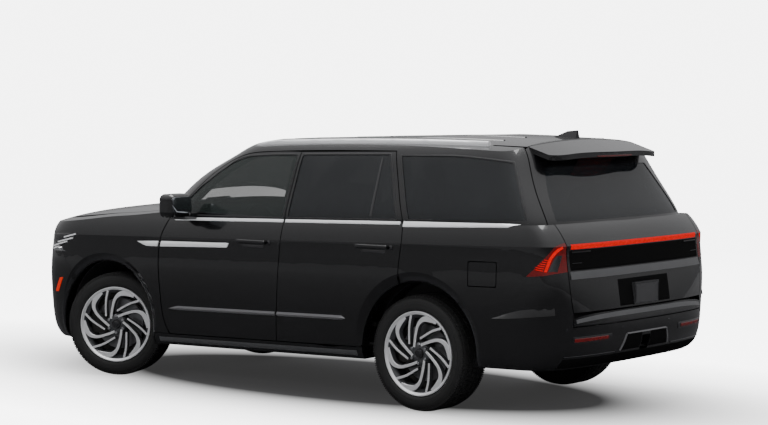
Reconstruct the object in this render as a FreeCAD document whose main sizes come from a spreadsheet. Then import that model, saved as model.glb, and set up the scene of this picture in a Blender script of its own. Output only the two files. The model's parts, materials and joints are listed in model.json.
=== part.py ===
"""A full-size luxury sport utility vehicle, built panel by panel.

Frame: X forward, Y to the left, Z up, millimetres, origin on the ground at mid length.
Places on the body are given as (station, level) shares.  Stations: -1 rear bumper, 0 rear
axle, 1 front axle, 2 front bumper.  Levels: 0 ground, 1 sill, 2 belt line, 3 roof.
"""
import FreeCAD, Part
import math
import os
import re
from functools import lru_cache
from types import SimpleNamespace
from FreeCAD import Placement, Rotation, Vector

SIZES = (
    # whole vehicle
    ("rear_overhang", 1257), ("wheelbase", 3111), ("front_overhang", 966),
    ("body_width", 2029), ("sill_height", 312), ("belt_height", 1285), ("roof_height", 1902),
    ("nose_drop_angle", 1.146), ("roof_crown", 63), ("hood_crown", 67),
    # walls and clearances
    ("panel_gap", 7), ("seat_gap", 0.3), ("overrun", 20), ("door_thickness", 95),
    ("door_flange", 8), ("door_rebate", 10),
    ("wall_thickness", 150), ("frame_thickness", 45), ("pillar_depth", 100),
    ("hood_thickness", 35), ("fender_thickness", 60),
    ("gate_thickness", 90), ("glass_thickness", 5), ("glass_recess", 5),
    ("trim_thickness", 6),
    # wheels, tyres and brakes
    ("tyre_diameter", 815), ("tyre_width", 285), ("track_width", 1706),
    ("rim_diameter", 559), ("rim_lip_height", 17), ("rim_wall", 9), ("spoke_depth", 34),
    ("hub_radius", 82), ("disc_diameter", 400), ("disc_thickness", 32), ("wheel_offset", 44),
    ("arch_gap", 97), ("arch_flare", 68), ("arch_flare_depth", 32), ("liner_thickness", 5),
    ("steer_angle", 23.2), ("kingpin_inset", 33), ("kingpin_radius", 26), ("stub_radius", 32),
    ("bearing_gap", 0.5), ("knuckle_height", 240), ("arm_width", 56), ("arm_thickness", 26),
    # frame, drive line and tanks
    ("rail_width", 90), ("rail_height", 130), ("rail_wall", 8), ("rail_spread", 860),
    ("frame_bottom", 330), ("floor_thickness", 25), ("cross_tube_radius", 38),
    ("engine_length", 720), ("engine_width", 640), ("engine_height", 620),
    ("pipe_radius", 35), ("muffler_length", 620), ("muffler_width", 300),
    ("muffler_height", 160), ("tank_length", 900), ("tank_width", 330), ("tank_height", 190),
    ("axle_shaft_radius", 22), ("diff_radius", 125), ("receiver_size", 63), ("receiver_bore", 51),
    # cabin
    ("seat_width", 530), ("seat_length", 540), ("seat_thickness", 150), ("seat_back_height", 640),
    ("head_rest_width", 270), ("head_rest_height", 190), ("seat_recline", 22),
    ("steering_wheel_diameter", 380), ("steering_rim_radius", 16), ("column_angle", 24),
    ("dash_depth", 420), ("dash_height", 330), ("console_width", 250), ("console_height", 330),
    # outside details
    ("handle_length", 272), ("handle_height", 30), ("handle_depth", 38),
    ("mirror_length", 150), ("mirror_width", 240), ("mirror_height", 180),
    ("rail_trim_width", 42), ("rail_trim_height", 38), ("antenna_length", 235),
    ("antenna_height", 46), ("antenna_width", 58), ("plate_width", 305), ("plate_height", 152),
    ("plate_bolt_spacing", 178), ("plate_bolt_radius", 3.5),
    ("spoiler_length", 250), ("spoiler_thickness", 34), ("spoiler_droop", 16), ("light_bar_height", 34),
)

doc = FreeCAD.newDocument("suv")
sheet = doc.addObject("Spreadsheet::Sheet", "Sizes")
for row, (alias, value) in enumerate(SIZES, start=1):
    sheet.set("A%d" % row, alias)
    sheet.set("B%d" % row, str(value))
    sheet.setAlias("B%d" % row, alias)
doc.recompute()
d = SimpleNamespace(**{alias: float(sheet.get(alias)) for alias, value in SIZES})

length = d.rear_overhang + d.wheelbase + d.front_overhang
rear_axle = d.rear_overhang - length / 2
front_axle = rear_axle + d.wheelbase
half_width = d.body_width / 2
rake = math.tan(math.radians(d.nose_drop_angle))
axle_height = d.tyre_diameter / 2
wheel_y = d.track_width / 2
arch_radius = axle_height + d.arch_gap


def along(station):
    """X of a station share."""
    if station < 0:
        return rear_axle + station * d.rear_overhang
    if station <= 1:
        return rear_axle + station * d.wheelbase
    return front_axle + (station - 1) * d.front_overhang


def up(level, x=0):
    """Z of a level share at X; the body sits nose down by its rake."""
    if level < 1:
        height = level * d.sill_height
    elif level <= 2:
        height = d.sill_height + (level - 1) * (d.belt_height - d.sill_height)
    else:
        height = d.belt_height + (level - 2) * (d.roof_height - d.belt_height)
    return height - rake * x


# Master skins: closed plan outlines, one for each level (level, width, nose, tail shares).
lower_shares = ((1.0, 0.944, 1.889, -0.903), (1.09, 0.978, 1.957, -0.967),
                (1.293, 0.995, 1.988, -0.990), (1.481, 1.0, 1.998, -0.975),
                (1.687, 0.997, 1.988, -0.950), (1.854, 0.989, 1.964, -0.941))
shoulder_shares = (lower_shares[-1], (1.928, 0.976, 1.931, -0.908), (2.0, 0.952, 1.827, -0.862))
crest_shares = (shoulder_shares[-1], (2.22, 0.887, 1.672, -0.788))
cabin_shares = ((1.985, 0.949, 0.965, -0.867), (2.331, 0.902, 0.845, -0.768),
                (2.618, 0.846, 0.749, -0.684), (2.800, 0.801, 0.662, -0.630),
                (2.870, 0.772, 0.632, -0.603), (2.925, 0.727, 0.602, -0.580),
                (2.965, 0.665, 0.575, -0.560))
# Where the straight flank ends (front, rear stations) and how square each end is; the tail
# grows squarer by its gain for each level above the first wheel-arch level.
body_ends = SimpleNamespace(front=0.935, rear=-0.072, nose_power=7, tail_power=15, tail_gain=27,
                            side_power=2.5)
cabin_ends = SimpleNamespace(front=0.421, rear=-0.072, nose_power=7, tail_power=12, tail_gain=0,
                             side_power=2.5)
end_step_shares = (0.0, 0.25, 0.45, 0.6, 0.72, 0.81, 0.88, 0.93, 0.965, 0.988)
flank_step_shares = (0.25, 0.5, 0.75)
roof_line_shares = ((-1.106, 2.818), (-0.646, 2.906), (-0.307, 2.945), (0.003, 2.974),
                    (0.150, 2.995), (0.430, 3.0), (0.628, 2.972), (0.839, 2.883))
hood_line_shares = ((0.743, 2.194), (0.907, 2.183), (0.973, 2.167), (1.271, 2.125),
                    (1.678, 2.049), (1.829, 1.990), (1.945, 1.928), (2.034, 1.841), (2.138, 1.707))
span_step_shares = (-1.3, -1.0, -0.7, -0.35, 0.0, 0.35, 0.7, 1.0, 1.3)


def plan_outline(level, width, nose, tail, ends, inset):
    """Closed smooth outline of the body at one level, moved inwards by inset."""
    w = half_width * width - inset
    front, back = along(nose) - inset, along(tail) + inset
    front_start, rear_start = along(ends.front), along(ends.rear)

    def spread(share, power):
        return w * (1 - share ** power) ** (1 / ends.side_power)

    half = [(front, 0.0)]
    half += [(front_start + (front - front_start) * k, spread(k, ends.nose_power))
             for k in reversed(end_step_shares)]
    half += [(front_start + (rear_start - front_start) * k, w) for k in flank_step_shares]
    tail_power = ends.tail_power + ends.tail_gain * max(min(level, lower_shares[-1][0])
                                                        - lower_shares[2][0], 0)
    half += [(rear_start + (back - rear_start) * k, spread(k, tail_power))
             for k in end_step_shares]
    half += [(back, 0.0)]
    loop = half + [(x, -y) for x, y in reversed(half[1:-1])]
    curve = Part.BSplineCurve()
    curve.interpolate(Points=[Vector(x, y, up(level, x)) for x, y in loop], PeriodicFlag=True)
    return Part.Wire([curve.toShape()])


def skin_wires(shares, ends, inset):
    return [plan_outline(*row, ends, inset) for row in shares]


def stacked_solid(groups, ends, inset):
    """Solid whose side is a stack of lofts that share their joining outlines."""
    stacks = [skin_wires(shares, ends, inset) for shares in groups]
    faces = [face for wires in stacks for face in Part.makeLoft(wires, False, False).Faces]
    faces += [Part.Face(stacks[0][0]), Part.Face(stacks[-1][-1])]
    shell = Part.makeShell(faces)
    shell.sewShape()
    solid = Part.Solid(shell)
    return solid if solid.Volume > 0 else solid.reversed()


def below(line_shares, crown, reach, lift, depth=None):
    """Solid under a crowned surface that is drawn along the middle of the car."""
    grid = []
    for station, level in line_shares:
        x = along(station)
        grid.append([Vector(x, k * half_width * reach,
                            up(level, x) + lift - crown * (0.7 * k ** 2 + 0.3 * k ** 6))
                     for k in span_step_shares])
    surface = Part.BSplineSurface()
    surface.interpolate(grid)
    return surface.toShape().extrude(Vector(0, 0, -(depth or d.roof_height)))


@lru_cache(maxsize=None)
def body_skin(inset, crest=False):
    groups = (lower_shares, shoulder_shares) + ((crest_shares,) if crest else ())
    return stacked_solid(groups, body_ends, inset)


@lru_cache(maxsize=None)
def cabin_skin(inset):
    """Glasshouse and roof down to the belt line."""
    sides = Part.makeLoft(skin_wires(cabin_shares, cabin_ends, inset), True, False)
    return sides.common(below(roof_line_shares, d.roof_crown, 0.74, -inset))


def box(low, high):
    return Part.makeBox(*(b - a for a, b in zip(low, high)), Vector(*low))


def side_view(station, level):
    x = along(station)
    return x, up(level, x)


def tail_view(side, level):
    return side * half_width, up(level, along(-0.95))


def nose_view(side, level):
    return side * half_width, up(level, along(1.95))


def plan_view(station, side):
    return along(station), side * half_width


TO_SPACE = {side_view: lambda a, b, c: Vector(a, c, b), plan_view: lambda a, b, c: Vector(a, b, c),
            tail_view: lambda a, b, c: Vector(c, a, b), nose_view: lambda a, b, c: Vector(c, a, b)}


def grown(points, margin):
    """Closed run of 2D points moved outwards by margin."""
    count = len(points)
    area = sum(points[i - 1][0] * points[i][1] - points[i][0] * points[i - 1][1]
               for i in range(count))
    sign = 1 if area > 0 else -1
    moved = []
    for i, (a, b) in enumerate(points):
        before, after = points[i - 1], points[(i + 1) % count]
        n1 = unit((b - before[1]) * sign, (before[0] - a) * sign)
        n2 = unit((after[1] - b) * sign, (a - after[0]) * sign)
        scale = margin / max(1 + n1[0] * n2[0] + n1[1] * n2[1], 0.4)
        moved.append((a + (n1[0] + n2[0]) * scale, b + (n1[1] + n2[1]) * scale))
    return moved


def unit(a, b):
    size = math.hypot(a, b)
    return a / size, b / size


def prism(view, runs, low, high, margin=0, radius=0):
    """Solid between two depths over an outline of smooth runs that meet at corners.

    Each run is a tuple of shares; it ends where the next run starts.
    """
    flat = [view(*share) for run in runs for share in run]
    flat = grown(flat, margin) if margin else flat
    starts, at = [], 0
    for run in runs:
        starts.append(at)
        at += len(run)
    paths = []
    for i, run in enumerate(runs):
        last = flat[starts[(i + 1) % len(runs)]]
        paths.append(flat[starts[i]:starts[i] + len(run)] + [last])
    space = TO_SPACE[view]
    corners = [path[0] for path in paths]
    if radius:
        for path in paths:
            path[0] = toward(path[0], path[1], radius)
            path[-1] = toward(path[-1], path[-2], radius)
    edges = []
    for i, path in enumerate(paths):
        vectors = [space(a, b, low) for a, b in path]
        if len(vectors) == 2:
            edges.append(Part.makeLine(*vectors))
        else:
            curve = Part.BSplineCurve()
            curve.interpolate(vectors)
            edges.append(curve.toShape())
        if radius:
            following = paths[(i + 1) % len(paths)]
            bend = Part.BezierCurve()
            bend.setPoles([vectors[-1], space(*corners[(i + 1) % len(paths)], low),
                           space(*following[0], low)])
            edges.append(bend.toShape())
    face = Part.Face(Part.Wire(edges))
    return face.extrude(space(0, 0, high - low))


def toward(start, target, distance):
    a, b = unit(target[0] - start[0], target[1] - start[1])
    return start[0] + a * distance, start[1] + b * distance


def mirrored(shape):
    return shape.mirror(Vector(0, 0, 0), Vector(0, 1, 0))


def with_mirror(shape):
    return Part.makeCompound([shape, mirrored(shape)])


nodes = {}


def publish(label, shape):
    """A sub-part whose free form surfaces come straight from the skins."""
    piece = doc.addObject("Part::Feature", label)
    piece.Label = label
    piece.Shape = shape
    piece.Placement = Placement()
    nodes[label] = piece
    return piece


def pair(label, shape):
    publish(label + "_left", shape)
    publish(label + "_right", mirrored(shape))


# Outlines, as runs of (station, level), (side, level) or (station, side) shares.
door_front_cut = ((0.777, 1.09), (0.795, 1.215), (0.804, 1.421), (0.808, 1.766), (0.801, 1.871),
                  (0.784, 1.99))
pillar_line = ((0.779, 2.098), (0.698, 2.451), (0.604, 2.733))
door_top_line = ((0.559, 2.794), (0.501, 2.815), (0.45, 2.82))
door_split = ((0.3910, 2.814), (0.4025, 2.000))
door_rear_cut = ((0.104, 2.808), (0.0891, 2.6), (0.0748, 2.4), (0.0605, 2.2), (0.048, 2.026),
                 (0.042, 1.87), (0.046, 1.763), (0.051, 1.5))
front_door_runs = (door_front_cut, pillar_line + door_top_line, door_split, ((0.4220, 1.09),))
rear_door_runs = (((0.4220, 1.09),) + tuple(reversed(door_split[1:])), door_split[:1],
                  door_rear_cut, ((0.060, 1.09),))
front_window_runs = (((0.768, 2.10), (0.698, 2.40), (0.608, 2.68)), ((0.559, 2.755), (0.48, 2.77)),
                     ((0.400, 2.77),), ((0.410, 2.03),))
rear_window_runs = (((0.393, 2.03),), ((0.383, 2.77),), ((0.118, 2.765),), ((0.066, 2.03),))
quarter_window_runs = (((0.031, 2.03),), ((0.084, 2.765), (-0.231, 2.73)), ((-0.555, 2.665),),
                       ((-0.700, 2.05),))
door_zone_runs = (door_front_cut, pillar_line + door_top_line + ((0.25, 2.82),), door_rear_cut,
                  ((0.060, 1.09),))
lower_side_runs = (((0.834, 1.0),), ((0.834, 2.0),), ((-1.1, 2.0),), ((-1.1, 1.0),))
upper_side_runs = (((0.835, 2.0),), ((0.815, 2.25),), ((0.600, 3.2),), ((-1.1, 3.2),),
                   ((-1.1, 2.0),))
front_aperture_runs = (((0.755, 1.14),), ((0.770, 2.02), (0.690, 2.38), (0.590, 2.68)),
                       ((0.540, 2.75),), ((0.425, 2.75),), ((0.440, 1.14),))
rear_aperture_runs = (((0.375, 1.14),), ((0.365, 2.75),), ((0.130, 2.75),), ((0.085, 2.0),),
                      ((0.095, 1.45), (0.150, 1.2)))
rear_bumper_runs = (((-0.200, 1.437), (-0.546, 1.449), (-0.626, 1.486)), ((-0.743, 1.651),),
                    ((-0.852, 1.661),), ((-0.914, 1.678),), ((-1.2, 1.70),), ((-1.2, 0.9),),
                    ((-0.2, 0.9),))
fuel_door_runs = (((-0.364, 1.575),), ((-0.364, 1.74),), ((-0.547, 1.74),), ((-0.547, 1.575),))
gate_half = ((0.80, 1.395), (0.824, 1.55), (0.829, 1.80), (0.828, 2.0), (0.79, 2.35),
             (0.71, 2.75), (0.66, 3.2))
gate_aperture_half = ((0.72, 1.46), (0.73, 1.80), (0.72, 2.0), (0.67, 2.4), (0.60, 2.72))
rear_window_half = ((0.765, 2.02), (0.745, 2.15), (0.625, 2.60))
windscreen_half = ((0.76, 2.05), (0.745, 2.25), (0.60, 2.85), (0.50, 2.90))
tail_flap_half = ((0.80, 1.30), (0.80, 1.39))
handle_shares = {"front": (0.536, 1.838), "rear": (0.165, 1.828)}
light_bar_half = ((0.789, 1.829), (0.789, 1.864))
tail_lamp_runs = (((-0.7445, 1.6525),), ((-0.852, 1.655),), ((-1.2, 1.66),), ((-1.2, 1.897),),
                  ((-0.914, 1.897), (-0.894, 1.866), (-0.869, 1.817), (-0.796, 1.711)))
roof_runs = (((0.75, 0.66), (0.3, 0.685)), ((-0.565, 0.67),), ((-0.565, -0.67), (0.3, -0.685)),
             ((0.75, -0.66),))
spoiler_runs = (((-0.573, 0.665),), ((-0.70, 0.66), (-0.725, 0.62), (-0.755, 0.45),
                (-0.785, 0.0), (-0.755, -0.45), (-0.725, -0.62)), ((-0.70, -0.66),),
                ((-0.573, -0.665),))
hood_runs = (((0.900, 0.0), (0.893, 0.30), (0.868, 0.60), (0.838, 0.80)),
             ((0.832, 0.865), (1.20, 0.855)),
             ((1.70, 0.80), (1.82, 0.70), (1.915, 0.30), (1.93, 0.0), (1.915, -0.30),
              (1.82, -0.70)), ((1.70, -0.80), (1.20, -0.855)),
             ((0.832, -0.865), (0.838, -0.80), (0.868, -0.60), (0.893, -0.30)))
fender_runs = (((0.836, 1.0),), ((0.836, 1.093),), ((0.780, 1.093), (0.797, 1.215),
               (0.806, 1.421), (0.810, 1.766), (0.803, 1.871), (0.786, 1.99)), ((0.785, 2.6),),
               ((1.75, 2.6),), ((1.75, 1.86), (1.53, 1.70), (1.44, 1.58)), ((1.40, 1.0),))


roof_rail_runs = (((0.57, 0.725), (-0.25, 0.725)), ((-0.59, 0.705),),
                  ((-0.59, 0.665), (-0.25, 0.684)), ((0.57, 0.684),))
front_bumper_runs = (((1.40, 0.9),), ((1.40, 1.0), (1.44, 1.58), (1.53, 1.70)), ((1.75, 1.86),),
                     ((1.75, 2.6),), ((2.2, 2.6),), ((2.2, 0.9),))
grille_half = ((0.42, 1.28), (0.60, 1.36), (0.63, 1.60), (0.60, 1.86), (0.55, 1.895))
headlamp_runs = (((1.50, 1.715),), ((1.76, 1.875),), ((2.2, 1.875),), ((2.2, 1.72),))
cowl_runs = (((0.77, 0.80),), ((0.87, 0.79), (1.0, 0.5), (1.0, -0.5)), ((0.87, -0.79),),
             ((0.77, -0.80),))


def both_sides(half):
    """Runs of a symmetric front or tail view outline from its left half."""
    other = tuple((-side, level) for side, level in reversed(half))
    return (half[:-1], half[-1:], other[:-1], other[-1:])


far_side = half_width + 3 * d.overrun
near_side = half_width * 0.3


def side_prism(runs, margin=0, radius=0):
    return prism(side_view, runs, near_side, far_side, margin, radius)


def tail_prism(half, margin=0, radius=0):
    return prism(tail_view, both_sides(half), along(-1.1), along(-0.35), margin, radius)


def nose_prism(half, margin=0, radius=0):
    return prism(nose_view, both_sides(half), along(0.3), along(2.1), margin, radius)


def arch(axle, grow=0):
    """Wheel opening: a bore that flares outwards to the crease round it."""
    inner = half_width - d.arch_flare_depth
    bore = Part.makeCylinder(arch_radius + grow, inner - near_side,
                             Vector(axle, near_side, axle_height), Vector(0, 1, 0))
    slope = d.arch_flare / d.arch_flare_depth
    flare = Part.makeCone(arch_radius + grow, arch_radius + grow + slope * (far_side - inner),
                          far_side - inner, Vector(axle, inner, axle_height), Vector(0, 1, 0))
    return bore.fuse(flare)


gap = d.panel_gap
half_gap = gap / 2
arches = arch(front_axle).fuse(arch(rear_axle))
side_box = box((along(-1.2), near_side, 0), (along(0.9), far_side, up(3.4)))

body = {inset: body_skin(inset).common(side_box) for inset in
        (-d.overrun, -d.seat_gap, 0, d.door_flange, d.fender_thickness + d.seat_gap,
         d.door_thickness, d.door_thickness + gap, d.wall_thickness)}
cabin = {inset: cabin_skin(inset) for inset in
         (-d.overrun, 0, d.door_flange, d.frame_thickness, d.frame_thickness + gap,
          d.pillar_depth)}



def door(runs, window):
    """Skin with a thin flange all round and a deeper inner panel set back behind it."""
    shape = side_prism(runs, -half_gap)
    rebate = side_prism(runs, half_gap).cut(side_prism(runs, -half_gap - d.door_rebate))
    lower = body[0].common(shape).cut(body[d.door_thickness])
    upper = cabin[0].common(shape).cut(cabin[d.frame_thickness])
    panel = lower.fuse(upper).cut([side_prism(window, 0, d.overrun), arch(rear_axle)])
    for skin in (body, cabin):
        panel = panel.cut(rebate.common(skin[d.door_flange]))
    return panel


def pane(outline):
    """Sheet of glass that follows the cabin skin inside an outline."""
    return cabin_skin(d.glass_recess).common(outline).cut(
        cabin_skin(d.glass_recess + d.glass_thickness))


def window_glass(runs):
    return pane(side_prism(runs, -d.seat_gap, d.overrun))


def make_doors():
    for place, runs, window in (("front", front_door_runs, front_window_runs),
                                ("rear", rear_door_runs, rear_window_runs)):
        strap = door_strap(*handle_shares[place])
        pair("door_" + place, Part.makeCompound([door(runs, window), strap]))
        pair("window_" + place, window_glass(window))


def roof_prism(margin=0):
    return prism(plan_view, roof_runs, up(2.4), up(3.6), margin)


def hood_prism(margin=0):
    return prism(plan_view, hood_runs, up(1.5), up(3.0), margin)


def make_lower_sides():
    """Sill, lower pillars and quarter panel, with the door zone recessed into it."""
    whole = side_prism(lower_side_runs)
    zone = side_prism(door_zone_runs, half_gap)
    side = body[0].common(whole).cut(body[d.wall_thickness])
    pocket_y = half_width * lower_shares[0][1] - d.door_thickness - gap
    side = side.cut(zone.common(box((along(-0.2), pocket_y, 0), (along(1), far_side, up(3)))))
    ahead = body[-d.overrun].common(side_prism(fender_runs, half_gap))
    side = side.cut(ahead.cut(body[d.fender_thickness + d.seat_gap]))
    side = side.cut([side_prism(front_aperture_runs, 0, d.overrun), arch(rear_axle),
                     side_prism(rear_aperture_runs, 0, d.overrun),
                     side_prism(rear_bumper_runs, d.seat_gap),
                     side_prism(tail_lamp_runs, d.seat_gap), tail_prism(gate_half, half_gap)])
    pocket = body[-d.overrun].common(side_prism(fuel_door_runs, gap, 2 * gap))
    side = side.cut(pocket.cut(body[d.door_thickness]))
    lid_skin = body_skin(d.trim_thickness * 2).common(side_box)
    lid = body[0].common(side_prism(fuel_door_runs, 0, 2 * gap)).cut(lid_skin)
    publish("fuel_door", lid)
    full = body[0].common(side_prism(fuel_door_runs, gap + d.seat_gap, 2 * gap))
    plug = full.cut(body[d.wall_thickness])
    publish("body_sides", Part.makeCompound([side, mirrored(side.fuse(plug))]))


def make_upper_sides():
    """Windscreen pillar, cant rail and upper door, quarter and rear pillars."""
    zone = side_prism(door_zone_runs, half_gap)
    side = cabin[0].common(side_prism(upper_side_runs, -d.seat_gap)).cut(cabin[d.pillar_depth])
    side = side.cut(cabin[-d.overrun].common(zone).cut(cabin[d.frame_thickness + gap]))
    side = side.cut([side_prism(front_aperture_runs, 0, d.overrun),
                     side_prism(rear_aperture_runs, 0, d.overrun),
                     side_prism(quarter_window_runs, 0, d.overrun), roof_prism(d.seat_gap),
                     nose_prism(windscreen_half, 0, d.overrun), tail_prism(gate_half, half_gap)])
    publish("roof_sides", with_mirror(side))


def make_roof():
    shell = cabin[0].common(roof_prism()).cut(cabin[d.frame_thickness])
    shell = shell.cut(nose_prism(windscreen_half, 0, d.overrun))
    publish("roof_panel", shell)
    rail = below(roof_line_shares, d.roof_crown, 0.74, d.rail_trim_height + d.seat_gap,
                 d.rail_trim_height)
    strip = prism(plan_view, roof_rail_runs, up(2.4), up(3.6), 0, d.rail_trim_width / 3)
    publish("roof_rails", with_mirror(rail.common(strip)))


def make_fixed_glass():
    publish("windscreen", pane(nose_prism(windscreen_half, -d.seat_gap, d.overrun)))
    publish("quarter_glass", with_mirror(window_glass(quarter_window_runs)))


def make_front():
    """Bonnet, wings, nose and lamps; the left half is shaped and then mirrored."""
    bonnet = below(hood_line_shares, d.hood_crown, 0.86, 0, d.hood_thickness)
    publish("hood", bonnet.common(hood_prism()))
    under = below(hood_line_shares, d.hood_crown, 0.86, 0)
    hood_gap = hood_prism(gap)
    left = box((along(0.76), 0, 0), (along(2.1), far_side, up(2.3)))
    inner = body_skin(d.fender_thickness, crest=True).common(left)
    outer = body_skin(0, crest=True).common(left.cut(hood_gap).common(under))
    shell = outer.cut(inner)
    grille_hole = nose_prism(grille_half)
    lamp_hole = prism(side_view, headlamp_runs, near_side * 2, far_side)
    wing = shell.common(side_prism(fender_runs)).cut(
        [arch(front_axle), lamp_hole, cabin_skin(-d.seat_gap)])
    publish("front_fenders", with_mirror(wing))
    nose = shell.common(prism(side_view, front_bumper_runs, 0, far_side, -half_gap / 2))
    bumper = nose.cut([grille_hole, lamp_hole, arch(front_axle)])
    publish("front_bumper", bumper.fuse(mirrored(bumper)))
    grille = shell.common(nose_prism(grille_half, -d.seat_gap))
    publish("grille", grille.fuse(mirrored(grille)))
    lamp = prism(side_view, headlamp_runs, near_side * 2, far_side, -d.seat_gap)
    publish("headlamps", with_mirror(shell.common(lamp).cut(grille_hole)))
    scuttle = bonnet.common(prism(plan_view, cowl_runs, up(1.5), up(3.0)))
    publish("cowl", scuttle.cut([hood_gap, cabin_skin(-d.seat_gap)]))


def make_tail():
    """Gate, flap, bumper and lamps; the left half is shaped and then mirrored."""
    outer, inner = body_skin(0), body_skin(d.gate_thickness)
    left = box((along(-1.1), 0, 0), (along(-0.15), far_side, up(2.1)))
    wall = outer.common(left).cut(inner.common(left))
    gate_prism = tail_prism(gate_half, -half_gap)
    gate_hole = tail_prism(gate_half, half_gap)
    lower = wall.common(gate_prism)
    top = box((along(-1.1), 0, 0), (along(-0.565) - gap, far_side, up(3.5)))
    upper = cabin[0].common(top).common(gate_prism).cut(cabin[d.pillar_depth])
    spoiler = below(roof_line_shares, d.roof_crown, 0.74, d.seat_gap, d.spoiler_thickness)
    crease = Vector(along(-0.573), 0, up(2.92, along(-0.573)))
    spoiler.rotate(crease, Vector(0, -1, 0), d.spoiler_droop)
    plan = prism(plan_view, spoiler_runs, up(2.4), up(3.6)).common(top)
    window = tail_prism(rear_window_half, 0, d.overrun)
    bar_runs, bar_back = both_sides(light_bar_half), along(-0.905)
    bar = wall.common(prism(tail_view, bar_runs, along(-1.1), bar_back, -d.seat_gap))
    bar_hole = prism(tail_view, bar_runs, along(-1.1), bar_back + d.seat_gap)
    gate = lower.fuse([upper, spoiler.common(plan)]).cut([window, bar_hole])
    publish("liftgate", gate.fuse(mirrored(gate)).cut(plate_bores()))
    publish("rear_glass", pane(tail_prism(rear_window_half, -d.seat_gap, d.overrun)))
    publish("light_bar", bar.fuse(mirrored(bar)))
    hinge_x, hinge_z = along(-0.994), up(1.299, along(-0.994))
    reach = up(1.388, along(-0.975)) - hinge_z
    swing = Part.makeCylinder(reach, half_width, Vector(hinge_x, 0, hinge_z), Vector(0, 1, 0))
    flap = wall.common(tail_prism(tail_flap_half, -half_gap)).common(swing)
    publish("tail_flap", flap.fuse(mirrored(flap)))
    seam = prism(side_view, rear_bumper_runs, 0, far_side)
    mouth_z = d.frame_bottom + d.rail_height - d.overrun
    mouth = box((along(-1.1), -d.overrun, mouth_z), (along(-0.8), d.receiver_size / 2
                + d.overrun, mouth_z + d.receiver_size + 2 * d.overrun))
    bumper = wall.common(seam).cut([gate_hole, arch(rear_axle), mouth,
                                    tail_prism(tail_flap_half, half_gap)])
    publish("rear_bumper", bumper.fuse(mirrored(bumper)))
    lamp = wall.common(prism(side_view, tail_lamp_runs, near_side, far_side))
    below_lamp = prism(side_view, rear_bumper_runs, near_side, far_side, d.seat_gap)
    publish("tail_lamps", with_mirror(lamp.cut([gate_hole, below_lamp])))


# Mechanical pieces: primitives whose sizes and places are formulas of the sheet.
REAR = "(rear_overhang - wheelbase - front_overhang) / 2"
FRONT = "(rear_overhang + wheelbase - front_overhang) / 2"
AXLE_Z = "tyre_diameter / 2"
RAIL_TOP = "(frame_bottom + rail_height)"
FLOOR_Z = "(frame_bottom + rail_height + cross_tube_radius * 2.5)"
aliases = {alias for alias, value in SIZES}


def sized(text):
    """A formula with each size's name pointed at the sheet."""
    return re.sub(r"[a-z_]+", lambda word: ("Sizes." if word.group() in aliases else "")
                  + word.group(), text)


def solid(kind, at=("0", "0", "0"), turn=None, **formulas):
    """A bound primitive; turn is (axis, degrees)."""
    piece = doc.addObject("Part::" + kind, kind)
    for key, text in formulas.items():
        piece.setExpression(key, sized(text))
    if turn:
        piece.Placement = Placement(Vector(), Rotation(Vector(*turn[0]), turn[1]))
    for axis, text in zip("xyz", at):
        piece.setExpression("Placement.Base." + axis, sized(text))
    return piece


Y_AXIS = ((1, 0, 0), -90)
X_AXIS = ((0, 1, 0), 90)


def fused(label, *pieces):
    union = doc.addObject("Part::MultiFuse", label)
    union.Label = label
    union.Shapes = list(pieces)
    return union


def cut(base, tool):
    piece = doc.addObject("Part::Cut", "Cut")
    piece.Base, piece.Tool = base, tool
    return piece


def flipped(piece):
    other = doc.addObject("Part::Mirroring", "Mirrored")
    other.Source = piece
    other.Normal = Vector(0, 1, 0)
    return other


def node(label, piece):
    piece.Label = label
    nodes[label] = piece
    return piece


def tube(radius, bore, run, at, turn=Y_AXIS):
    outer = solid("Cylinder", at, turn, Radius=radius, Height=run)
    return cut(outer, solid("Cylinder", at, turn, Radius=bore, Height=run))


def make_tyre():
    """Tyre about the Y axis, with recessed beads for the rim flanges."""
    half = "-tyre_width / 2"
    shape = solid("Cylinder", ("0", half, "0"), Y_AXIS, Radius="tyre_diameter / 2",
                  Height="tyre_width")
    bore = solid("Cylinder", ("0", half, "0"), Y_AXIS, Radius="rim_diameter / 2 + seat_gap",
                 Height="tyre_width")
    flange = "rim_diameter / 2 + rim_lip_height + seat_gap"
    bead = "tyre_width * 0.08 + seat_gap"
    inner = solid("Cylinder", ("0", half, "0"), Y_AXIS, Radius=flange, Height=bead)
    outer = solid("Cylinder", ("0", "tyre_width / 2 - " + bead, "0"), Y_AXIS, Radius=flange,
                  Height=bead)
    return cut(shape, fused("TyreBore", bore, inner, outer))


def ribbon(shares, breadths):
    """Bar face in the wheel plane along (radius share, clock degrees) points."""
    reach = d.rim_diameter / 2
    middle = [(reach * r * math.cos(math.radians(a)), reach * r * math.sin(math.radians(a)))
              for r, a in shares]
    left, right = [], []
    for i, (x, z) in enumerate(middle):
        before, after = middle[max(i - 1, 0)], middle[min(i + 1, len(middle) - 1)]
        dx, dz = unit(after[0] - before[0], after[1] - before[1])
        w = breadths[i] * reach / 2
        left.append(Vector(-(x - dz * w), 0, z + dx * w))
        right.append(Vector(-(x + dz * w), 0, z - dx * w))
    sides = []
    for points in (left, list(reversed(right))):
        if len(points) == 2:
            sides.append(Part.makeLine(*points))
        else:
            curve = Part.BSplineCurve()
            curve.interpolate(points)
            sides.append(curve.toShape())
    caps = [Part.makeLine(left[-1], right[-1]), Part.makeLine(right[0], left[0])]
    return Part.Face(Part.Wire([sides[0], caps[0], sides[1], caps[1]]))


hook_shares = ((0.22, 137), (0.45, 104.5), (0.70, 92.6), (0.86, 82), (0.93, 70), (0.965, 55))
hook_breadth_shares = (0.07, 0.075, 0.085, 0.12, 0.14, 0.06)
blade_shares = ((0.38, 145), (0.70, 115.5), (0.975, 104))
blade_breadth_shares = (0.055, 0.06, 0.065)
spoke_groups = 6


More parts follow.
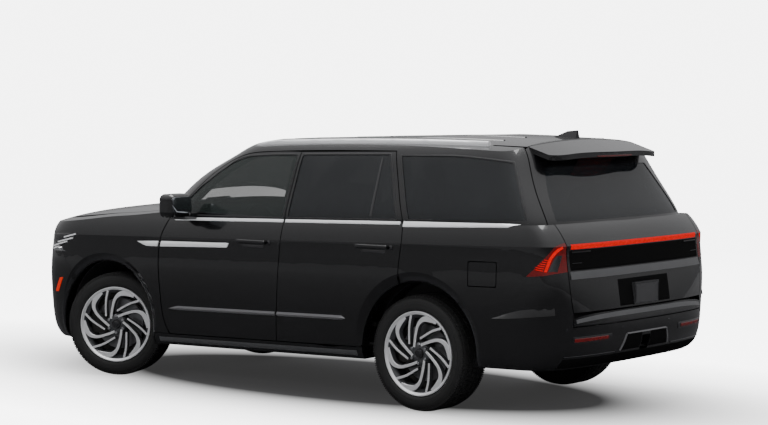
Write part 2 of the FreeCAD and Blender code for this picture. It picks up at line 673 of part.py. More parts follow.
def make_rim():
    """Wheel about the Y axis: barrel, flanges, swept spokes, hub, brake disc and stub."""
    rim, bore = "rim_diameter / 2", "rim_diameter / 2 - rim_wall"
    flange = "rim_diameter / 2 + rim_lip_height"
    lip = "tyre_width * 0.08"
    width = "tyre_width - 2 * trim_thickness"
    pieces = [tube(rim, bore, width, ("0", "trim_thickness - tyre_width / 2", "0"))]
    for place in ("trim_thickness - tyre_width / 2",
                  "tyre_width / 2 - trim_thickness - %s / 2" % lip):
        pieces.append(tube(flange, bore, lip + " / 2", ("0", place, "0")))
    face = "(tyre_width / 2 - 4 * trim_thickness)"
    pieces.append(solid("Cylinder", ("0", "disc_thickness / 4", "0"), Y_AXIS,
                        Radius="hub_radius", Height=face + " - disc_thickness / 2"))
    pieces.append(solid("Cylinder", ("0", "disc_thickness / 4", "0"), Y_AXIS,
                        Radius="disc_diameter / 2", Height="disc_thickness"))
    pieces.append(solid("Cylinder", ("0", "-hub_radius", "0"), Y_AXIS, Radius="stub_radius",
                        Height="hub_radius + disc_thickness / 2"))
    front = d.tyre_width / 2 - 3 * d.trim_thickness
    star = doc.addObject("Part::Feature", "Spokes")
    rim_disc = Part.makeCylinder(d.rim_diameter / 2 - d.rim_wall / 2, 2 * d.spoke_depth,
                                 Vector(0, -d.spoke_depth * 1.5, 0), Vector(0, 1, 0))
    bars = []
    for shares, breadths in ((hook_shares, hook_breadth_shares),
                             (blade_shares, blade_breadth_shares)):
        bar = ribbon(shares, breadths).extrude(Vector(0, -d.spoke_depth, 0)).common(rim_disc)
        bar.translate(Vector(0, front, 0))
        for turn in range(spoke_groups):
            copy = bar.copy()
            copy.rotate(Vector(), Vector(0, 1, 0), turn * 360 / spoke_groups)
            bars.append(copy)
    star.Shape = bars[0].fuse(bars[1:])
    return fused("Rim", *pieces, star)


def make_carrier():
    """Hub carrier and caliper about the wheel's own axis."""
    plate = solid("Cylinder", ("0", "-hub_radius + trim_thickness", "0"), Y_AXIS,
                  Radius="hub_radius", Height="hub_radius * 0.75")
    pin = solid("Cylinder", ("0", "-kingpin_inset", "-knuckle_height / 2"),
                Radius="kingpin_radius", Height="knuckle_height")
    caliper = solid("Box", ("disc_diameter / 4", "-disc_thickness / 4",
                            "-disc_diameter / 5"), Length="disc_diameter / 3",
                    Width="disc_thickness * 2", Height="disc_diameter * 0.4")
    bracket = solid("Box", ("hub_radius / 2", "-disc_thickness * 1.4", "-disc_diameter / 8"),
                    Length="disc_diameter / 2.4", Width="disc_thickness * 1.3",
                    Height="disc_diameter / 4")
    slot = solid("Cylinder", ("0", "disc_thickness / 4 - panel_gap", "0"), Y_AXIS,
                 Radius="disc_diameter / 2 + panel_gap",
                 Height="disc_thickness + 2 * panel_gap")
    shaft = solid("Cylinder", ("0", "-hub_radius * 1.2", "0"), Y_AXIS,
                  Radius="stub_radius + bearing_gap", Height="hub_radius * 2")
    return cut(fused("CarrierBody", plate, pin, caliper, bracket), fused("CarrierCut", slot, shaft))



def corner(label, master, axle, side, steered):
    """Copy of a wheel-axis piece at one corner; a steered one turns about its kingpin."""
    holder = doc.addObject("Part::Compound", label)
    holder.Links = [master]
    turn = "steer_angle" if steered else "0"
    facing = "" if side > 0 else "180 + "
    holder.Placement = Placement(Vector(), Rotation(Vector(0, 0, 1), 10))
    holder.setExpression("Placement.Rotation.Angle", sized(facing + turn))
    sign = "" if side > 0 else "-"
    shift = "(kingpin_inset * sin(%s * 1deg))" % turn
    reach = "(track_width / 2 - kingpin_inset + kingpin_inset * cos(%s * 1deg))" % turn
    drop = " - " if side > 0 else " + "
    holder.setExpression("Placement.Base.x", sized(axle + drop + shift))
    holder.setExpression("Placement.Base.y", sized(sign + reach))
    holder.setExpression("Placement.Base.z", sized(AXLE_Z))
    return node(label, holder)


hub_carriers = []


def make_running_gear():
    tyre, rim, carrier = make_tyre(), make_rim(), make_carrier()
    for axle, place, steered in ((FRONT, "front", True), (REAR, "rear", False)):
        for side, hand in ((1, "left"), (-1, "right")):
            corner("tyre_%s_%s" % (place, hand), tyre, axle, side, steered)
            corner("wheel_%s_%s" % (place, hand), rim, axle, side, steered)
            if steered:
                corner("knuckle_" + hand, carrier, axle, side, steered)
            else:
                hub_carriers.append(corner("hub_carrier_" + hand, carrier, axle, side, steered))
                del nodes["hub_carrier_" + hand]


def make_suspension():
    """Arms, towers and struts that reach from the frame to each hub carrier."""
    reach = "(track_width / 2 - kingpin_inset)"
    start = "(rail_spread / 2 + rail_width / 2 + seat_gap)"
    for axle, place, strut in ((FRONT, "front", "0.75"), (REAR, "rear", "0.34")):
        low = "(%s - knuckle_height / 2 - bearing_gap - arm_thickness)" % AXLE_Z
        high = "(%s + knuckle_height / 2 + bearing_gap)" % AXLE_Z
        pieces = []
        for level in (low, high):
            pieces.append(solid("Box", (axle + " - arm_width / 2", start, level),
                                Length="arm_width", Width=reach + " - " + start,
                                Height="arm_thickness"))
            pieces.append(solid("Cylinder", (axle, reach, level), Radius="arm_width / 2",
                                Height="arm_thickness"))
        pieces.append(solid("Box", (axle + " - arm_width", start, low), Length="arm_width * 2",
                            Width="arm_width / 2", Height=high + " - " + low
                            + " + arm_thickness"))
        pieces.append(solid("Cylinder", (axle, start + " + arm_width * 1.3", low),
                            Radius="arm_width * 0.7", Height="tyre_diameter * " + strut))
        arm = fused("Arms", *pieces)
        sides = [arm, flipped(arm)]
        if place == "rear":
            shaft = solid("Cylinder", (axle, "-track_width / 2 + hub_radius + 2 * bearing_gap",
                                       AXLE_Z), Y_AXIS, Radius="axle_shaft_radius",
                          Height="track_width - 2 * hub_radius - 4 * bearing_gap")
            diff = solid("Sphere", (axle, "0", AXLE_Z), Radius="diff_radius")
            sides += [shaft, diff] + hub_carriers
        node(place + "_suspension", fused(place + "_suspension", *sides))


def make_frame():
    """Ladder frame: side rails with a rear kick-up, cross tubes, mounts and receiver."""
    kick = REAR + " + tyre_diameter * 0.6"
    rear_low = "(frame_bottom + rail_height + panel_gap)"
    inner = "(rail_spread / 2 - rail_width / 2)"
    pieces = []
    rail = solid("Box", (kick, inner, "frame_bottom"), Width="rail_width", Height="rail_height",
                 Length="wheelbase + front_overhang * 0.62 - tyre_diameter * 0.6")
    tail = solid("Box", (REAR + " - rear_overhang * 0.78", inner, RAIL_TOP + " - rail_wall"),
                 Length="rear_overhang * 0.78 + tyre_diameter * 0.75", Width="rail_width",
                 Height="cross_tube_radius * 2.5 + rail_wall - seat_gap")
    pieces += [rail, flipped(rail), tail, flipped(tail)]
    for place in (FRONT + " + front_overhang * 0.55", FRONT + " - tyre_diameter * 0.55",
                  FRONT + " - wheelbase * 0.42", kick + " + rail_width"):
        pieces.append(solid("Cylinder", (place, "-rail_spread / 2", "frame_bottom"
                                         " + rail_height / 2"), Y_AXIS,
                            Radius="cross_tube_radius", Height="rail_spread"))
    for place in (REAR + " + diff_radius * 1.7", REAR + " - rear_overhang * 0.74"):
        pieces.append(solid("Cylinder", (place, "-rail_spread / 2", FLOOR_Z
                                         + " - cross_tube_radius * 1.3"), Y_AXIS,
                            Radius="cross_tube_radius", Height="rail_spread"))
    for station in (0.42, 0.14, -0.14):
        mount = solid("Cylinder", ("wheelbase * %s" % station, "rail_spread / 2", RAIL_TOP),
                      Radius="rail_width * 0.4", Height="cross_tube_radius * 2.5 - seat_gap")
        pieces += [mount, flipped(mount)]
    bed = solid("Box", (FRONT + " - engine_length * 0.3", "-rail_spread / 2",
                        RAIL_TOP + " - rail_height / 2"), Length="rail_width",
                Width="rail_spread", Height="rail_height / 2")
    pieces.append(bed)
    socket = cut(solid("Box", (REAR + " - rear_overhang * 0.93", "-receiver_size / 2",
                               "frame_bottom + rail_height"), Length="rear_overhang * 0.24",
                       Width="receiver_size", Height="receiver_size"),
                 solid("Box", (REAR + " - rear_overhang * 0.94", "-receiver_bore / 2",
                               "frame_bottom + rail_height + (receiver_size - receiver_bore) / 2"),
                       Length="rear_overhang * 0.15", Width="receiver_bore",
                       Height="receiver_bore"))
    pieces.append(socket)
    node("chassis_frame", fused("chassis_frame", *pieces))


def make_underbody():
    engine = solid("Box", (FRONT + " - engine_length * 0.6", "-engine_width / 2",
                           RAIL_TOP + " + seat_gap"), Length="engine_length",
                   Width="engine_width", Height="engine_height")
    node("engine", engine)
    plate = body_skin(d.wall_thickness + d.seat_gap)
    floor_z = d.frame_bottom + d.rail_height + d.cross_tube_radius * 2.5
    sheet_metal = plate.common(box((along(-0.86), -far_side, floor_z),
                                   (along(0.83), far_side, floor_z + d.floor_thickness)))
    wall = plate.common(box((along(0.83) - d.floor_thickness, -far_side, floor_z),
                            (along(0.83), far_side, up(1.93))))
    wells = [Part.makeCylinder(arch_radius + d.liner_thickness, half_width,
                               Vector(rear_axle, side * wheel_inner, axle_height),
                               Vector(0, side, 0)) for side in (1, -1)]
    publish("floor_pan", sheet_metal.fuse(wall).cut(wells))


wheel_inner = wheel_y - d.tyre_width / 2 - 2 * d.overrun


def make_liners():
    """Arched liners between each wheel opening and the bay behind it."""
    liners = []
    for axle, place, inner in ((front_axle, "front", d.rail_spread / 2 + d.rail_width),
                               (rear_axle, "rear", wheel_inner)):
        outer_y = half_width * lower_shares[0][1] - d.wall_thickness - d.seat_gap
        if place == "front":
            outer_y = half_width * 0.98 - d.fender_thickness - d.arch_flare_depth
        grow = d.liner_thickness - d.seat_gap
        drum = Part.makeCylinder(arch_radius + grow, outer_y - inner,
                                 Vector(axle, inner, axle_height), Vector(0, 1, 0))
        hollow = Part.makeCylinder(arch_radius, outer_y, Vector(axle, inner + (
            0 if place == "front" else d.liner_thickness), axle_height), Vector(0, 1, 0))
        top = box((axle - 2 * arch_radius, 0, axle_height), (axle + 2 * arch_radius, far_side,
                                                             axle_height + 2 * arch_radius))
        liner = drum.cut(hollow).common(top)
        if place == "rear":
            half_slot = d.arm_width / 2 + 2 * d.panel_gap
            liner = liner.cut(box((axle - half_slot, 0, 0), (axle + half_slot, wheel_y,
                                  axle_height + d.knuckle_height / 2 + 3 * d.arm_thickness / 2)))
        liners += [liner, mirrored(liner)]
    publish("wheel_liners", Part.makeCompound(liners))


def rounded(label, piece, radius):
    """Box with every edge rounded."""
    doc.recompute()
    soft = doc.addObject("Part::Fillet", label)
    soft.Base = piece
    soft.Edges = [(i + 1, radius, radius) for i in range(len(piece.Shape.Edges))]
    return soft


def make_seat(x, y, width):
    """Cushion, reclined back and head rest as one soft block."""
    floor = FLOOR_Z + " + floor_thickness + seat_gap"
    base = solid("Box", (x, "%s - %s / 2" % (y, width), floor), Length="seat_length",
                 Width=width, Height="seat_thickness * 1.9")
    back = solid("Box", (x + " - seat_thickness * 0.3", "%s - %s / 2" % (y, width),
                         floor + " + seat_thickness * 1.3"), ((0, 1, 0), -d.seat_recline),
                 Length="seat_thickness", Width=width, Height="seat_back_height")
    lean = "sin(seat_recline * 1deg) * seat_back_height"
    rise = "cos(seat_recline * 1deg) * seat_back_height"
    rest = solid("Box", (x + " - seat_thickness * 0.2 - " + lean,
                         "%s - head_rest_width / 2" % y,
                         floor + " + seat_thickness * 1.15 + " + rise),
                 ((0, 1, 0), -d.seat_recline), Length="seat_thickness * 0.7",
                 Width="head_rest_width", Height="head_rest_height")
    soft = [rounded("Soft", part, d.seat_thickness / 5) for part in (base, back, rest)]
    return fused("Chair", *soft)


def make_cabin():
    left = "(body_width * 0.195)"
    front = make_seat("0 - wheelbase * 0.02", left, "seat_width")
    middle = make_seat("0 - wheelbase * 0.34", left, "seat_width")
    bench = make_seat("0 - wheelbase * 0.60", "0", "(seat_width * 2.1)")
    node("front_seats", fused("front_seats", front, flipped(front)))
    node("rear_seats", fused("rear_seats", middle, flipped(middle), bench))
    floor = FLOOR_Z + " + floor_thickness + seat_gap"
    wall_x = FRONT + " - wheelbase * 0.17 - floor_thickness - seat_gap"
    dash = solid("Box", (wall_x + " - dash_depth", "-body_width * 0.40",
                         floor + " + console_height"), Length="dash_depth",
                 Width="body_width * 0.80", Height="dash_height")
    console = solid("Box", (wall_x + " - dash_depth * 2.9", "-console_width / 2", floor),
                    Length="dash_depth * 2.9", Width="console_width", Height="console_height")
    node("dashboard", fused("dashboard", rounded("Dash", dash, d.dash_height / 6),
                            rounded("Console", console, d.console_height / 10)))


def make_steering_wheel():
    """Rim, hub and three spokes about their own axis, tipped to the column angle."""
    ring = solid("Torus", Radius1="steering_wheel_diameter / 2", Radius2="steering_rim_radius")
    hub = solid("Cylinder", ("0", "0", "-steering_rim_radius * 1.5"),
                Radius="steering_wheel_diameter / 5", Height="steering_rim_radius * 2.5")
    bars = [solid("Box", ("-steering_rim_radius * 0.9", "0", "-steering_rim_radius * 0.6"),
                  ((0, 0, 1), turn), Length="steering_rim_radius * 1.8",
                  Width="steering_wheel_diameter / 2", Height="steering_rim_radius")
            for turn in (0, 180)]
    tail = solid("Box", ("-steering_wheel_diameter / 2", "-steering_rim_radius",
                         "-steering_rim_radius * 0.6"), Length="steering_wheel_diameter / 2",
                 Width="steering_rim_radius * 2", Height="steering_rim_radius")
    column = solid("Cylinder", ("0", "0", "-dash_depth * 0.36"), Radius="steering_rim_radius",
                   Height="dash_depth * 0.36")
    wheel = fused("steering_wheel", ring, hub, tail, column, *bars)
    wheel.Placement = Placement(Vector(), Rotation(Vector(0, 1, 0), -90 + d.column_angle))
    wheel.setExpression("Placement.Base.x", sized(
        FRONT + " - wheelbase * 0.17 - floor_thickness - dash_depth * 1.36"))
    wheel.setExpression("Placement.Base.y", sized("body_width * 0.195"))
    wheel.setExpression("Placement.Base.z", sized(
        FLOOR_Z + " + console_height + dash_height * 0.9"))
    node("steering_wheel", wheel)


def make_exhaust():
    """Pipe and silencer hung under the floor on the right."""
    y = "-(rail_spread / 2 - rail_width * 1.6)"
    z = "frame_bottom + rail_height / 2 - cross_tube_radius - pipe_radius - panel_gap"
    pipe = solid("Cylinder", (REAR + " - rear_overhang * 0.25", y, z), X_AXIS,
                 Radius="pipe_radius", Height="wheelbase * 0.92")
    silencer = solid("Box", (REAR + " + wheelbase * 0.22", y + " - muffler_width / 2 + "
                             "rail_width", z + " - muffler_height / 4"),
                     Length="muffler_length", Width="muffler_width", Height="muffler_height")
    soft = rounded("Silencer", silencer, d.muffler_height / 4)
    node("exhaust", fused("exhaust", pipe, soft))
    tank = solid("Box", (REAR + " + wheelbase * 0.22", "rail_spread / 2 + rail_width / 2"
                         " + seat_gap", FLOOR_Z + " - seat_gap - tank_height"),
                 Length="tank_length", Width="tank_width", Height="tank_height")
    node("fuel_tank", rounded("fuel_tank", tank, d.tank_height / 6))


def make_mirrors():
    x, z = along(0.707), up(2.03, along(0.707))
    y = half_width * 0.935
    head = Part.makeBox(d.mirror_length, d.mirror_width, d.mirror_height,
                        Vector(x - d.mirror_length / 2, y + d.mirror_width * 0.3, z))
    head = head.makeFillet(d.mirror_length * 0.3, head.Edges)
    foot = Part.makeBox(d.mirror_length * 0.7, d.mirror_width * 0.6, d.mirror_height * 0.25,
                        Vector(x - d.mirror_length * 0.35, y, z - d.mirror_height * 0.1))
    foot = foot.cut(cabin_skin(-d.seat_gap)).cut(body[-d.seat_gap])
    pair("mirror", head.fuse(foot))


def door_strap(station, level):
    """Pull handle that stands off the door skin."""
    x0, x1 = along(station) - d.handle_length, along(station)
    z = up(level, (x0 + x1) / 2) - d.handle_height / 2
    y = half_width * 0.985
    block = box((x0, y, z), (x1, y + d.handle_depth, z + d.handle_height))
    block = block.makeFillet(d.handle_height / 3, block.Edges)
    return block.cut(body[-d.seat_gap])


def plate_bores():
    """Bolt bores through the number plate and on into the gate."""
    x, z = along(-0.985), up(1.408, along(-0.93)) + d.plate_height * 0.85
    return [Part.makeCylinder(d.plate_bolt_radius, 4 * d.overrun,
                              Vector(x - d.overrun, side * d.plate_bolt_spacing / 2, z),
                              Vector(1, 0, 0)) for side in (-1, 1)]


def make_plate():
    """Blank number plate on the gate, with its two bolt holes."""
    z = up(1.408, along(-0.93))
    x = along(-0.985)
    plate = box((x - d.trim_thickness, -d.plate_width / 2, z),
                (x + d.overrun * 2, d.plate_width / 2, z + d.plate_height))
    plate = plate.cut(body_skin(-d.seat_gap))
    publish("number_plate", plate.cut(plate_bores()))
    fin = Part.makeLoft([Part.makePolygon([
        Vector(x0, -w, z0), Vector(x1, -w, z1), Vector(x1, w, z1), Vector(x0, w, z0),
        Vector(x0, -w, z0)]) for x0, x1, w, z0, z1 in antenna_sections()], True, True)
    publish("antenna", fin.cut(cabin_skin(-d.seat_gap)))


def antenna_sections():
    rear = along(-0.53)
    low = up(2.9, rear)
    high = up(2.965, rear)
    w = d.antenna_width / 2
    return ((rear, rear + d.antenna_length, w, low, low),
            (rear, rear + d.antenna_length * 0.35, w * 0.25, high + d.antenna_height * 0.6,
             high + d.antenna_height * 0.45))


stages = (make_doors, make_lower_sides, make_upper_sides, make_roof, make_fixed_glass,
          make_front, make_tail, make_underbody, make_liners, make_running_gear,
          make_suspension, make_frame, make_cabin, make_steering_wheel, make_exhaust,
          make_mirrors, make_plate)

for stage in stages:
    stage()
doc.recompute()
for piece in doc.Objects:
    if "Invalid" in piece.State or "Error" in piece.State:
        raise RuntimeError("%s failed: %s" % (piece.Label, piece.State))
os.makedirs("parts", exist_ok=True)
for label, piece in nodes.items():
    if piece.Shape.isNull() or not piece.Shape.Solids or not piece.Shape.isValid():
        raise RuntimeError("%s has no valid shape" % label)
    piece.Shape.exportStep("parts/%s.step" % label)
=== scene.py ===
import functools
import json
import math

import bmesh
import bpy
from mathutils import Matrix, Vector
from mathutils.bvhtree import BVHTree


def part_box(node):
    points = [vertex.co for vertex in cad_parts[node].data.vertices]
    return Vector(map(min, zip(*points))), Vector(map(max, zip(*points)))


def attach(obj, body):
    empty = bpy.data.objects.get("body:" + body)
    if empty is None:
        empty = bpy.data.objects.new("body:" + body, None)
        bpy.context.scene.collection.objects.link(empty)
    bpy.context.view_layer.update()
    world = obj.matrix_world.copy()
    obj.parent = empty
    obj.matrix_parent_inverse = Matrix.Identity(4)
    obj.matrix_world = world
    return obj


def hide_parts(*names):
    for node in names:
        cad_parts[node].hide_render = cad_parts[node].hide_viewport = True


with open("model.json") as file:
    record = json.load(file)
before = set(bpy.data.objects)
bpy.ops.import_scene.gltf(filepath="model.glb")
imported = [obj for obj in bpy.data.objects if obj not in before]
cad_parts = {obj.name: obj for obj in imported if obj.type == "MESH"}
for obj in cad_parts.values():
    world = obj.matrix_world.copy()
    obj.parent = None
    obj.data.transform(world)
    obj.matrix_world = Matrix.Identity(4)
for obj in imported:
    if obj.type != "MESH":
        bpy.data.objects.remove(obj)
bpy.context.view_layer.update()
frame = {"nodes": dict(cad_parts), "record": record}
nodes = frame["nodes"]
bodyOf = {node: body for body, members in
          frame["record"]["behaviour"]["bodies"].items() for node in members}

# Camera, solved from the wheels and the symmetry of the body.
view = {"position": (-10.0754, 11.9745, 2.1528), "azimuth": -0.8866, "dip": 0.0545,
        "roll": -0.0029, "focalPixels": 2028.5426, "frameWidth": 768, "sensorWidth": 36,
        "farthest": 500}


def makeCamera(spec):
    data = bpy.data.cameras.new("camera")
    data.sensor_width = spec["sensorWidth"]
    data.lens = spec["focalPixels"] / spec["frameWidth"] * data.sensor_width
    data.clip_end = spec["farthest"]
    camera = bpy.data.objects.new("camera", data)
    bpy.context.collection.objects.link(camera)
    flat = math.cos(spec["dip"])
    aim = Vector((math.cos(spec["azimuth"]) * flat, math.sin(spec["azimuth"]) * flat,
                  -math.sin(spec["dip"])))
    turn = aim.to_track_quat("-Z", "Y").to_matrix().to_4x4()
    camera.matrix_world = (Matrix.Translation(spec["position"]) @ turn
                           @ Matrix.Rotation(spec["roll"], 4, "Z"))
    bpy.context.scene.camera = camera


makeCamera(view)
print("camera ready")


# Shader maths: a socket with the operators in use.
class Flow:
    def __init__(self, shader, socket):
        self.shader, self.socket = shader, socket

    def __add__(self, other):
        return self.shader.node("ShaderNodeMath", {"operation": "ADD"}, self, other)

    def __mul__(self, other):
        return self.shader.node("ShaderNodeMath", {"operation": "MULTIPLY"}, self, other)

    __radd__ = __add__
    __rmul__ = __mul__


class Shader:  # node tree of a material or of the world
    def __init__(self, holder):
        self.holder = holder
        holder.use_nodes = True
        self.tree = holder.node_tree
        self.main = self.tree.nodes.get("Principled BSDF") or self.tree.nodes["Background"]

    def feed(self, socket, value):
        if isinstance(value, Flow):
            self.tree.links.new(value.socket, socket)
        elif isinstance(value, tuple) and len(value) == 3 and socket.type == "RGBA":
            socket.default_value = (*value, 1)
        else:
            socket.default_value = value

    def node(self, kind, settings=None, *values, output=0, **named):
        node = self.tree.nodes.new(kind)
        for key, value in (settings or {}).items():
            if key == "stops":
                for index, (place, colour) in enumerate(value):
                    stop = (node.color_ramp.elements[index] if index < 2
                            else node.color_ramp.elements.new(place))
                    stop.position, stop.color = place, (*colour, 1)
            else:
                setattr(node, key, value)
        for index, value in enumerate(values):
            if value is not None:
                self.feed(node.inputs[index], value)
        for key, value in named.items():
            self.feed(node.inputs[key.replace("_", " ")], value)
        return Flow(self, node.outputs[output])

    def place(self, stretch=(1, 1, 1)):
        where = self.node("ShaderNodeTexCoord", output="Object")
        if stretch == (1, 1, 1):
            return where
        return self.node("ShaderNodeMapping", None, where, Scale=stretch)

    def radius(self, stretch):
        return self.node("ShaderNodeVectorMath", {"operation": "LENGTH"}, self.place(stretch),
                         output="Value")

    def noise(self, scale, detail=3, stretch=(1, 1, 1)):
        return self.node("ShaderNodeTexNoise", None, Vector=self.place(stretch), Scale=scale,
                         Detail=detail)

    def ramp(self, value, run):
        return self.node("ShaderNodeMapRange", None, value, *run, 0.0, 1.0)

    def mix(self, factor, first, second):
        return self.node("ShaderNodeMix", {"data_type": "RGBA"}, factor, None, None, None, None,
                         None, first, second, output=2)

    def set(self, **sockets):
        for key, value in sockets.items():
            self.feed(self.main.inputs[key.replace("_", " ")], value)
        return self

    def bump(self, height, distance, strength):
        return self.set(Normal=self.node("ShaderNodeBump", None, Strength=strength,
                                         Distance=distance, Height=height))


def shaderFor(name):
    return Shader(bpy.data.materials.new(name))


# Materials. Each is procedural and reads object coordinates.
paintLook = {"colour": (0.0018, 0.0018, 0.0021), "lift": (0.0034, 0.0035, 0.004),
             "roughness": 0.22, "peel": 0.00002}


def makePaint(name, spec):
    s = shaderFor(name)
    cloud = s.noise(1.7, 2)
    grain = s.noise(900, 1)
    s.set(Base_Color=s.mix(cloud, spec["colour"], spec["lift"]),
          Roughness=spec["roughness"] + grain * 0.06, Coat_Weight=1.0, Coat_Roughness=0.02,
          Specular_IOR_Level=0.35)
    return s.bump(s.noise(140, 2), spec["peel"], 0.25).holder


def makePlain(name, dark, light, scale, roughness, spread, metal=0.0, bump=0.0, coat=0.0,
              stretch=(1, 1, 1), shine=0.5):
    s = shaderFor(name)
    grain = s.noise(scale, 4, stretch)
    s.set(Base_Color=s.mix(grain, dark, light), Roughness=roughness + grain * spread,
          Metallic=metal, Coat_Weight=coat, Coat_Roughness=0.05, Specular_IOR_Level=shine)
    if bump:
        s.bump(grain, bump, 0.5)
    return s.holder


def makeGlass(name, tint, cover):
    s = shaderFor(name)
    film = s.noise(2.5, 2)
    s.set(Base_Color=s.mix(film, tint, tuple(c * 1.5 for c in tint)),
          Roughness=0.02 + film * 0.02, Alpha=cover + film * 0.03, Specular_IOR_Level=0.6)
    s.holder.surface_render_method = "BLENDED"
    return s.holder


def makeGlow(name, colour, strength):
    s = shaderFor(name)
    grain = s.noise(60, 2)
    power = s.mix(grain, tuple(c * 0.55 for c in colour), colour)
    s.set(Base_Color=s.mix(grain, tuple(c * 0.2 for c in colour), tuple(c * 0.4 for c in colour)),
          Roughness=0.5, Emission_Color=power, Emission_Strength=strength, Coat_Weight=0.0,
          Specular_IOR_Level=0.1)
    return s.holder


def makeLeather(name, dark, light, channels=None):
    # grained leather, with sewn channels that lie this many to the metre
    s = shaderFor(name)
    relief = s.node("ShaderNodeTexVoronoi", {"feature": "DISTANCE_TO_EDGE"}, Vector=s.place(),
                    Scale=420)
    wear = s.noise(9, 3)
    s.set(Base_Color=s.mix(wear, dark, light), Roughness=0.5 + wear * 0.15)
    if channels is None:
        return s.bump(relief, 0.0004, 0.6).holder
    folds = s.node("ShaderNodeTexWave", {"bands_direction": "Y"}, output="Fac",
                   Vector=s.place(), Scale=channels)
    return s.bump(relief * 0.1 + folds, 0.004, 0.7).holder


looks = {
    "body_paint": makePaint("gloss black paint", paintLook),
    "satin_dark": makePlain("satin dark trim", (0.030, 0.031, 0.033), (0.045, 0.046, 0.048), 8,
                            0.30, 0.08, coat=0.4),
    "gloss_trim": makePlain("piano black trim", (0.004, 0.004, 0.005), (0.008, 0.008, 0.009),
                            3, 0.08, 0.03, coat=1.0),
    "trim_black": makePlain("grained black plastic", (0.010, 0.010, 0.011),
                            (0.020, 0.020, 0.021), 700, 0.55, 0.2, bump=0.0002),
    "bright_trim": makePlain("satin aluminium trim", (0.80, 0.81, 0.82), (0.90, 0.90, 0.91),
                             300, 0.30, 0.12, 0.45, stretch=(0.02, 1, 1)),
    "gun_trim": makePlain("gunmetal trim", (0.055, 0.056, 0.06), (0.085, 0.087, 0.092),
                          300, 0.25, 0.1, 1.0, stretch=(0.02, 1, 1), coat=0.5),
    "plate_metal": makePlain("plate enamel", (0.02, 0.02, 0.021), (0.03, 0.03, 0.032), 25, 0.3,
                             0.1, coat=0.6),
    "glass_dark": makeGlass("privacy glass", (0.006, 0.007, 0.008), 0.86),
    "glass_light": makeGlass("tinted glass", (0.010, 0.013, 0.012), 0.78),
    "lamp_lens": makeGlass("clear lens", (0.10, 0.10, 0.11), 0.22),
    "tyre_rubber": makePlain("tyre rubber", (0.005, 0.005, 0.005), (0.011, 0.011, 0.011), 45,
                             0.6, 0.2, bump=0.0004),
    # Near black with little shine: the own colour of the gate applique and the valance panel, and
    # painted shade in the plate and hitch pockets.
    "recess_black": makePlain("recess black", (0.0015, 0.0015, 0.0016), (0.003, 0.003, 0.003),
                              60, 0.75, 0.1, shine=0.08),
    "strip_satin": makePlain("satin strip", (0.10, 0.10, 0.105), (0.15, 0.15, 0.155), 300,
                             0.38, 0.12, 0.5, stretch=(0.02, 1, 1)),
    "wheel_alloy": makePlain("machined alloy", (0.78, 0.79, 0.80), (0.90, 0.90, 0.91), 500,
                             0.30, 0.15, 0.75),
    "wheel_pocket": makePlain("dark wheel paint", (0.045, 0.046, 0.05), (0.075, 0.076, 0.08),
                              60, 0.35, 0.1, 0.6, coat=0.4),
    "frame_black": makePlain("frame enamel", (0.008, 0.008, 0.008), (0.02, 0.019, 0.018), 12,
                             0.45, 0.25, bump=0.0006),
    "suspension_iron": makePlain("cast iron", (0.03, 0.03, 0.03), (0.07, 0.065, 0.06), 80,
                                 0.6, 0.25, 0.7, bump=0.001),
    "brake_steel": makePlain("brake disc steel", (0.22, 0.22, 0.23), (0.38, 0.38, 0.39), 400,
                             0.3, 0.15, 1.0),
    "exhaust_steel": makePlain("exhaust steel", (0.25, 0.24, 0.23), (0.42, 0.41, 0.40), 30,
                               0.3, 0.25, 1.0),
    "seat_leather": makeLeather("seat leather", (0.012, 0.011, 0.011), (0.022, 0.020, 0.019)),
    "sewn_leather": makeLeather("sewn seat leather", (0.020, 0.018, 0.017),
                                (0.034, 0.031, 0.029), 4.4),
    "headliner": makePlain("headliner cloth", (0.20, 0.19, 0.175), (0.27, 0.26, 0.24), 600, 0.85,
                           0.1, bump=0.0003),
    "carpet": makePlain("carpet", (0.010, 0.010, 0.010), (0.024, 0.023, 0.022), 900, 0.9, 0.05,
                        bump=0.0008),
    "red_glow": makeGlow("tail lamp glow", (1.0, 0.0, 0.0), 0.55),
    "red_lens": makePlain("red lens", (0.060, 0.001, 0.001), (0.11, 0.002, 0.002), 50, 0.15,
                          0.05, coat=0.35),
    "amber_lens": makeGlow("amber marker", (1.0, 0.035, 0.004), 0.45),
    "mirror_face": makePlain("mirror glass", (0.30, 0.32, 0.34), (0.36, 0.38, 0.40), 5, 0.03,
                             0.02, 1.0),
    "chrome": makePlain("bright chrome", (0.80, 0.81, 0.83), (0.88, 0.89, 0.90), 200, 0.06,
                        0.05, 1.0),
}
print("materials ready:", len(looks))

# Studio: a pale floor with a painted shadow round the part and painted reflection colours that are
# dark near the part, a soft sky and four soft boxes.
studio = {"floorHalf": 60, "floorColour": (0.86, 0.86, 0.87), "sky": 1.0,
          "backdrop": (6.0, 6.0, 6.0), "glowStretch": (0.25, 0.6, 1), "glowRun": (0.55, 1.6),
          # shadeStretch, shadeRun and shade set the painted shadow: a dark patch on the floor
          # round the part
          "glow": 5.2, "glowBase": 0.04, "shadeStretch": (0.34, 0.80, 1),
          "shadeRun": (0.80, 1.45), "shade": (0.05, 0.05, 0.052), "mirrorRun": (2.5, 12.0),
          # mirroredNear and mirroredFar, with mirrorRun above, are the painted reflection colours
          # of the floor
          "mirroredNear": (0.035, 0.035, 0.037), "mirroredFar": (0.32, 0.32, 0.325),
          "dome": ((0.0, (0.02, 0.02, 0.02)), (0.5, (0.15, 0.15, 0.155)),
                   (0.53, (0.26, 0.26, 0.265)), (0.58, (0.42, 0.42, 0.43)),
                   (0.75, (0.60, 0.60, 0.61)), (1.0, (1.2, 1.2, 1.22)))}


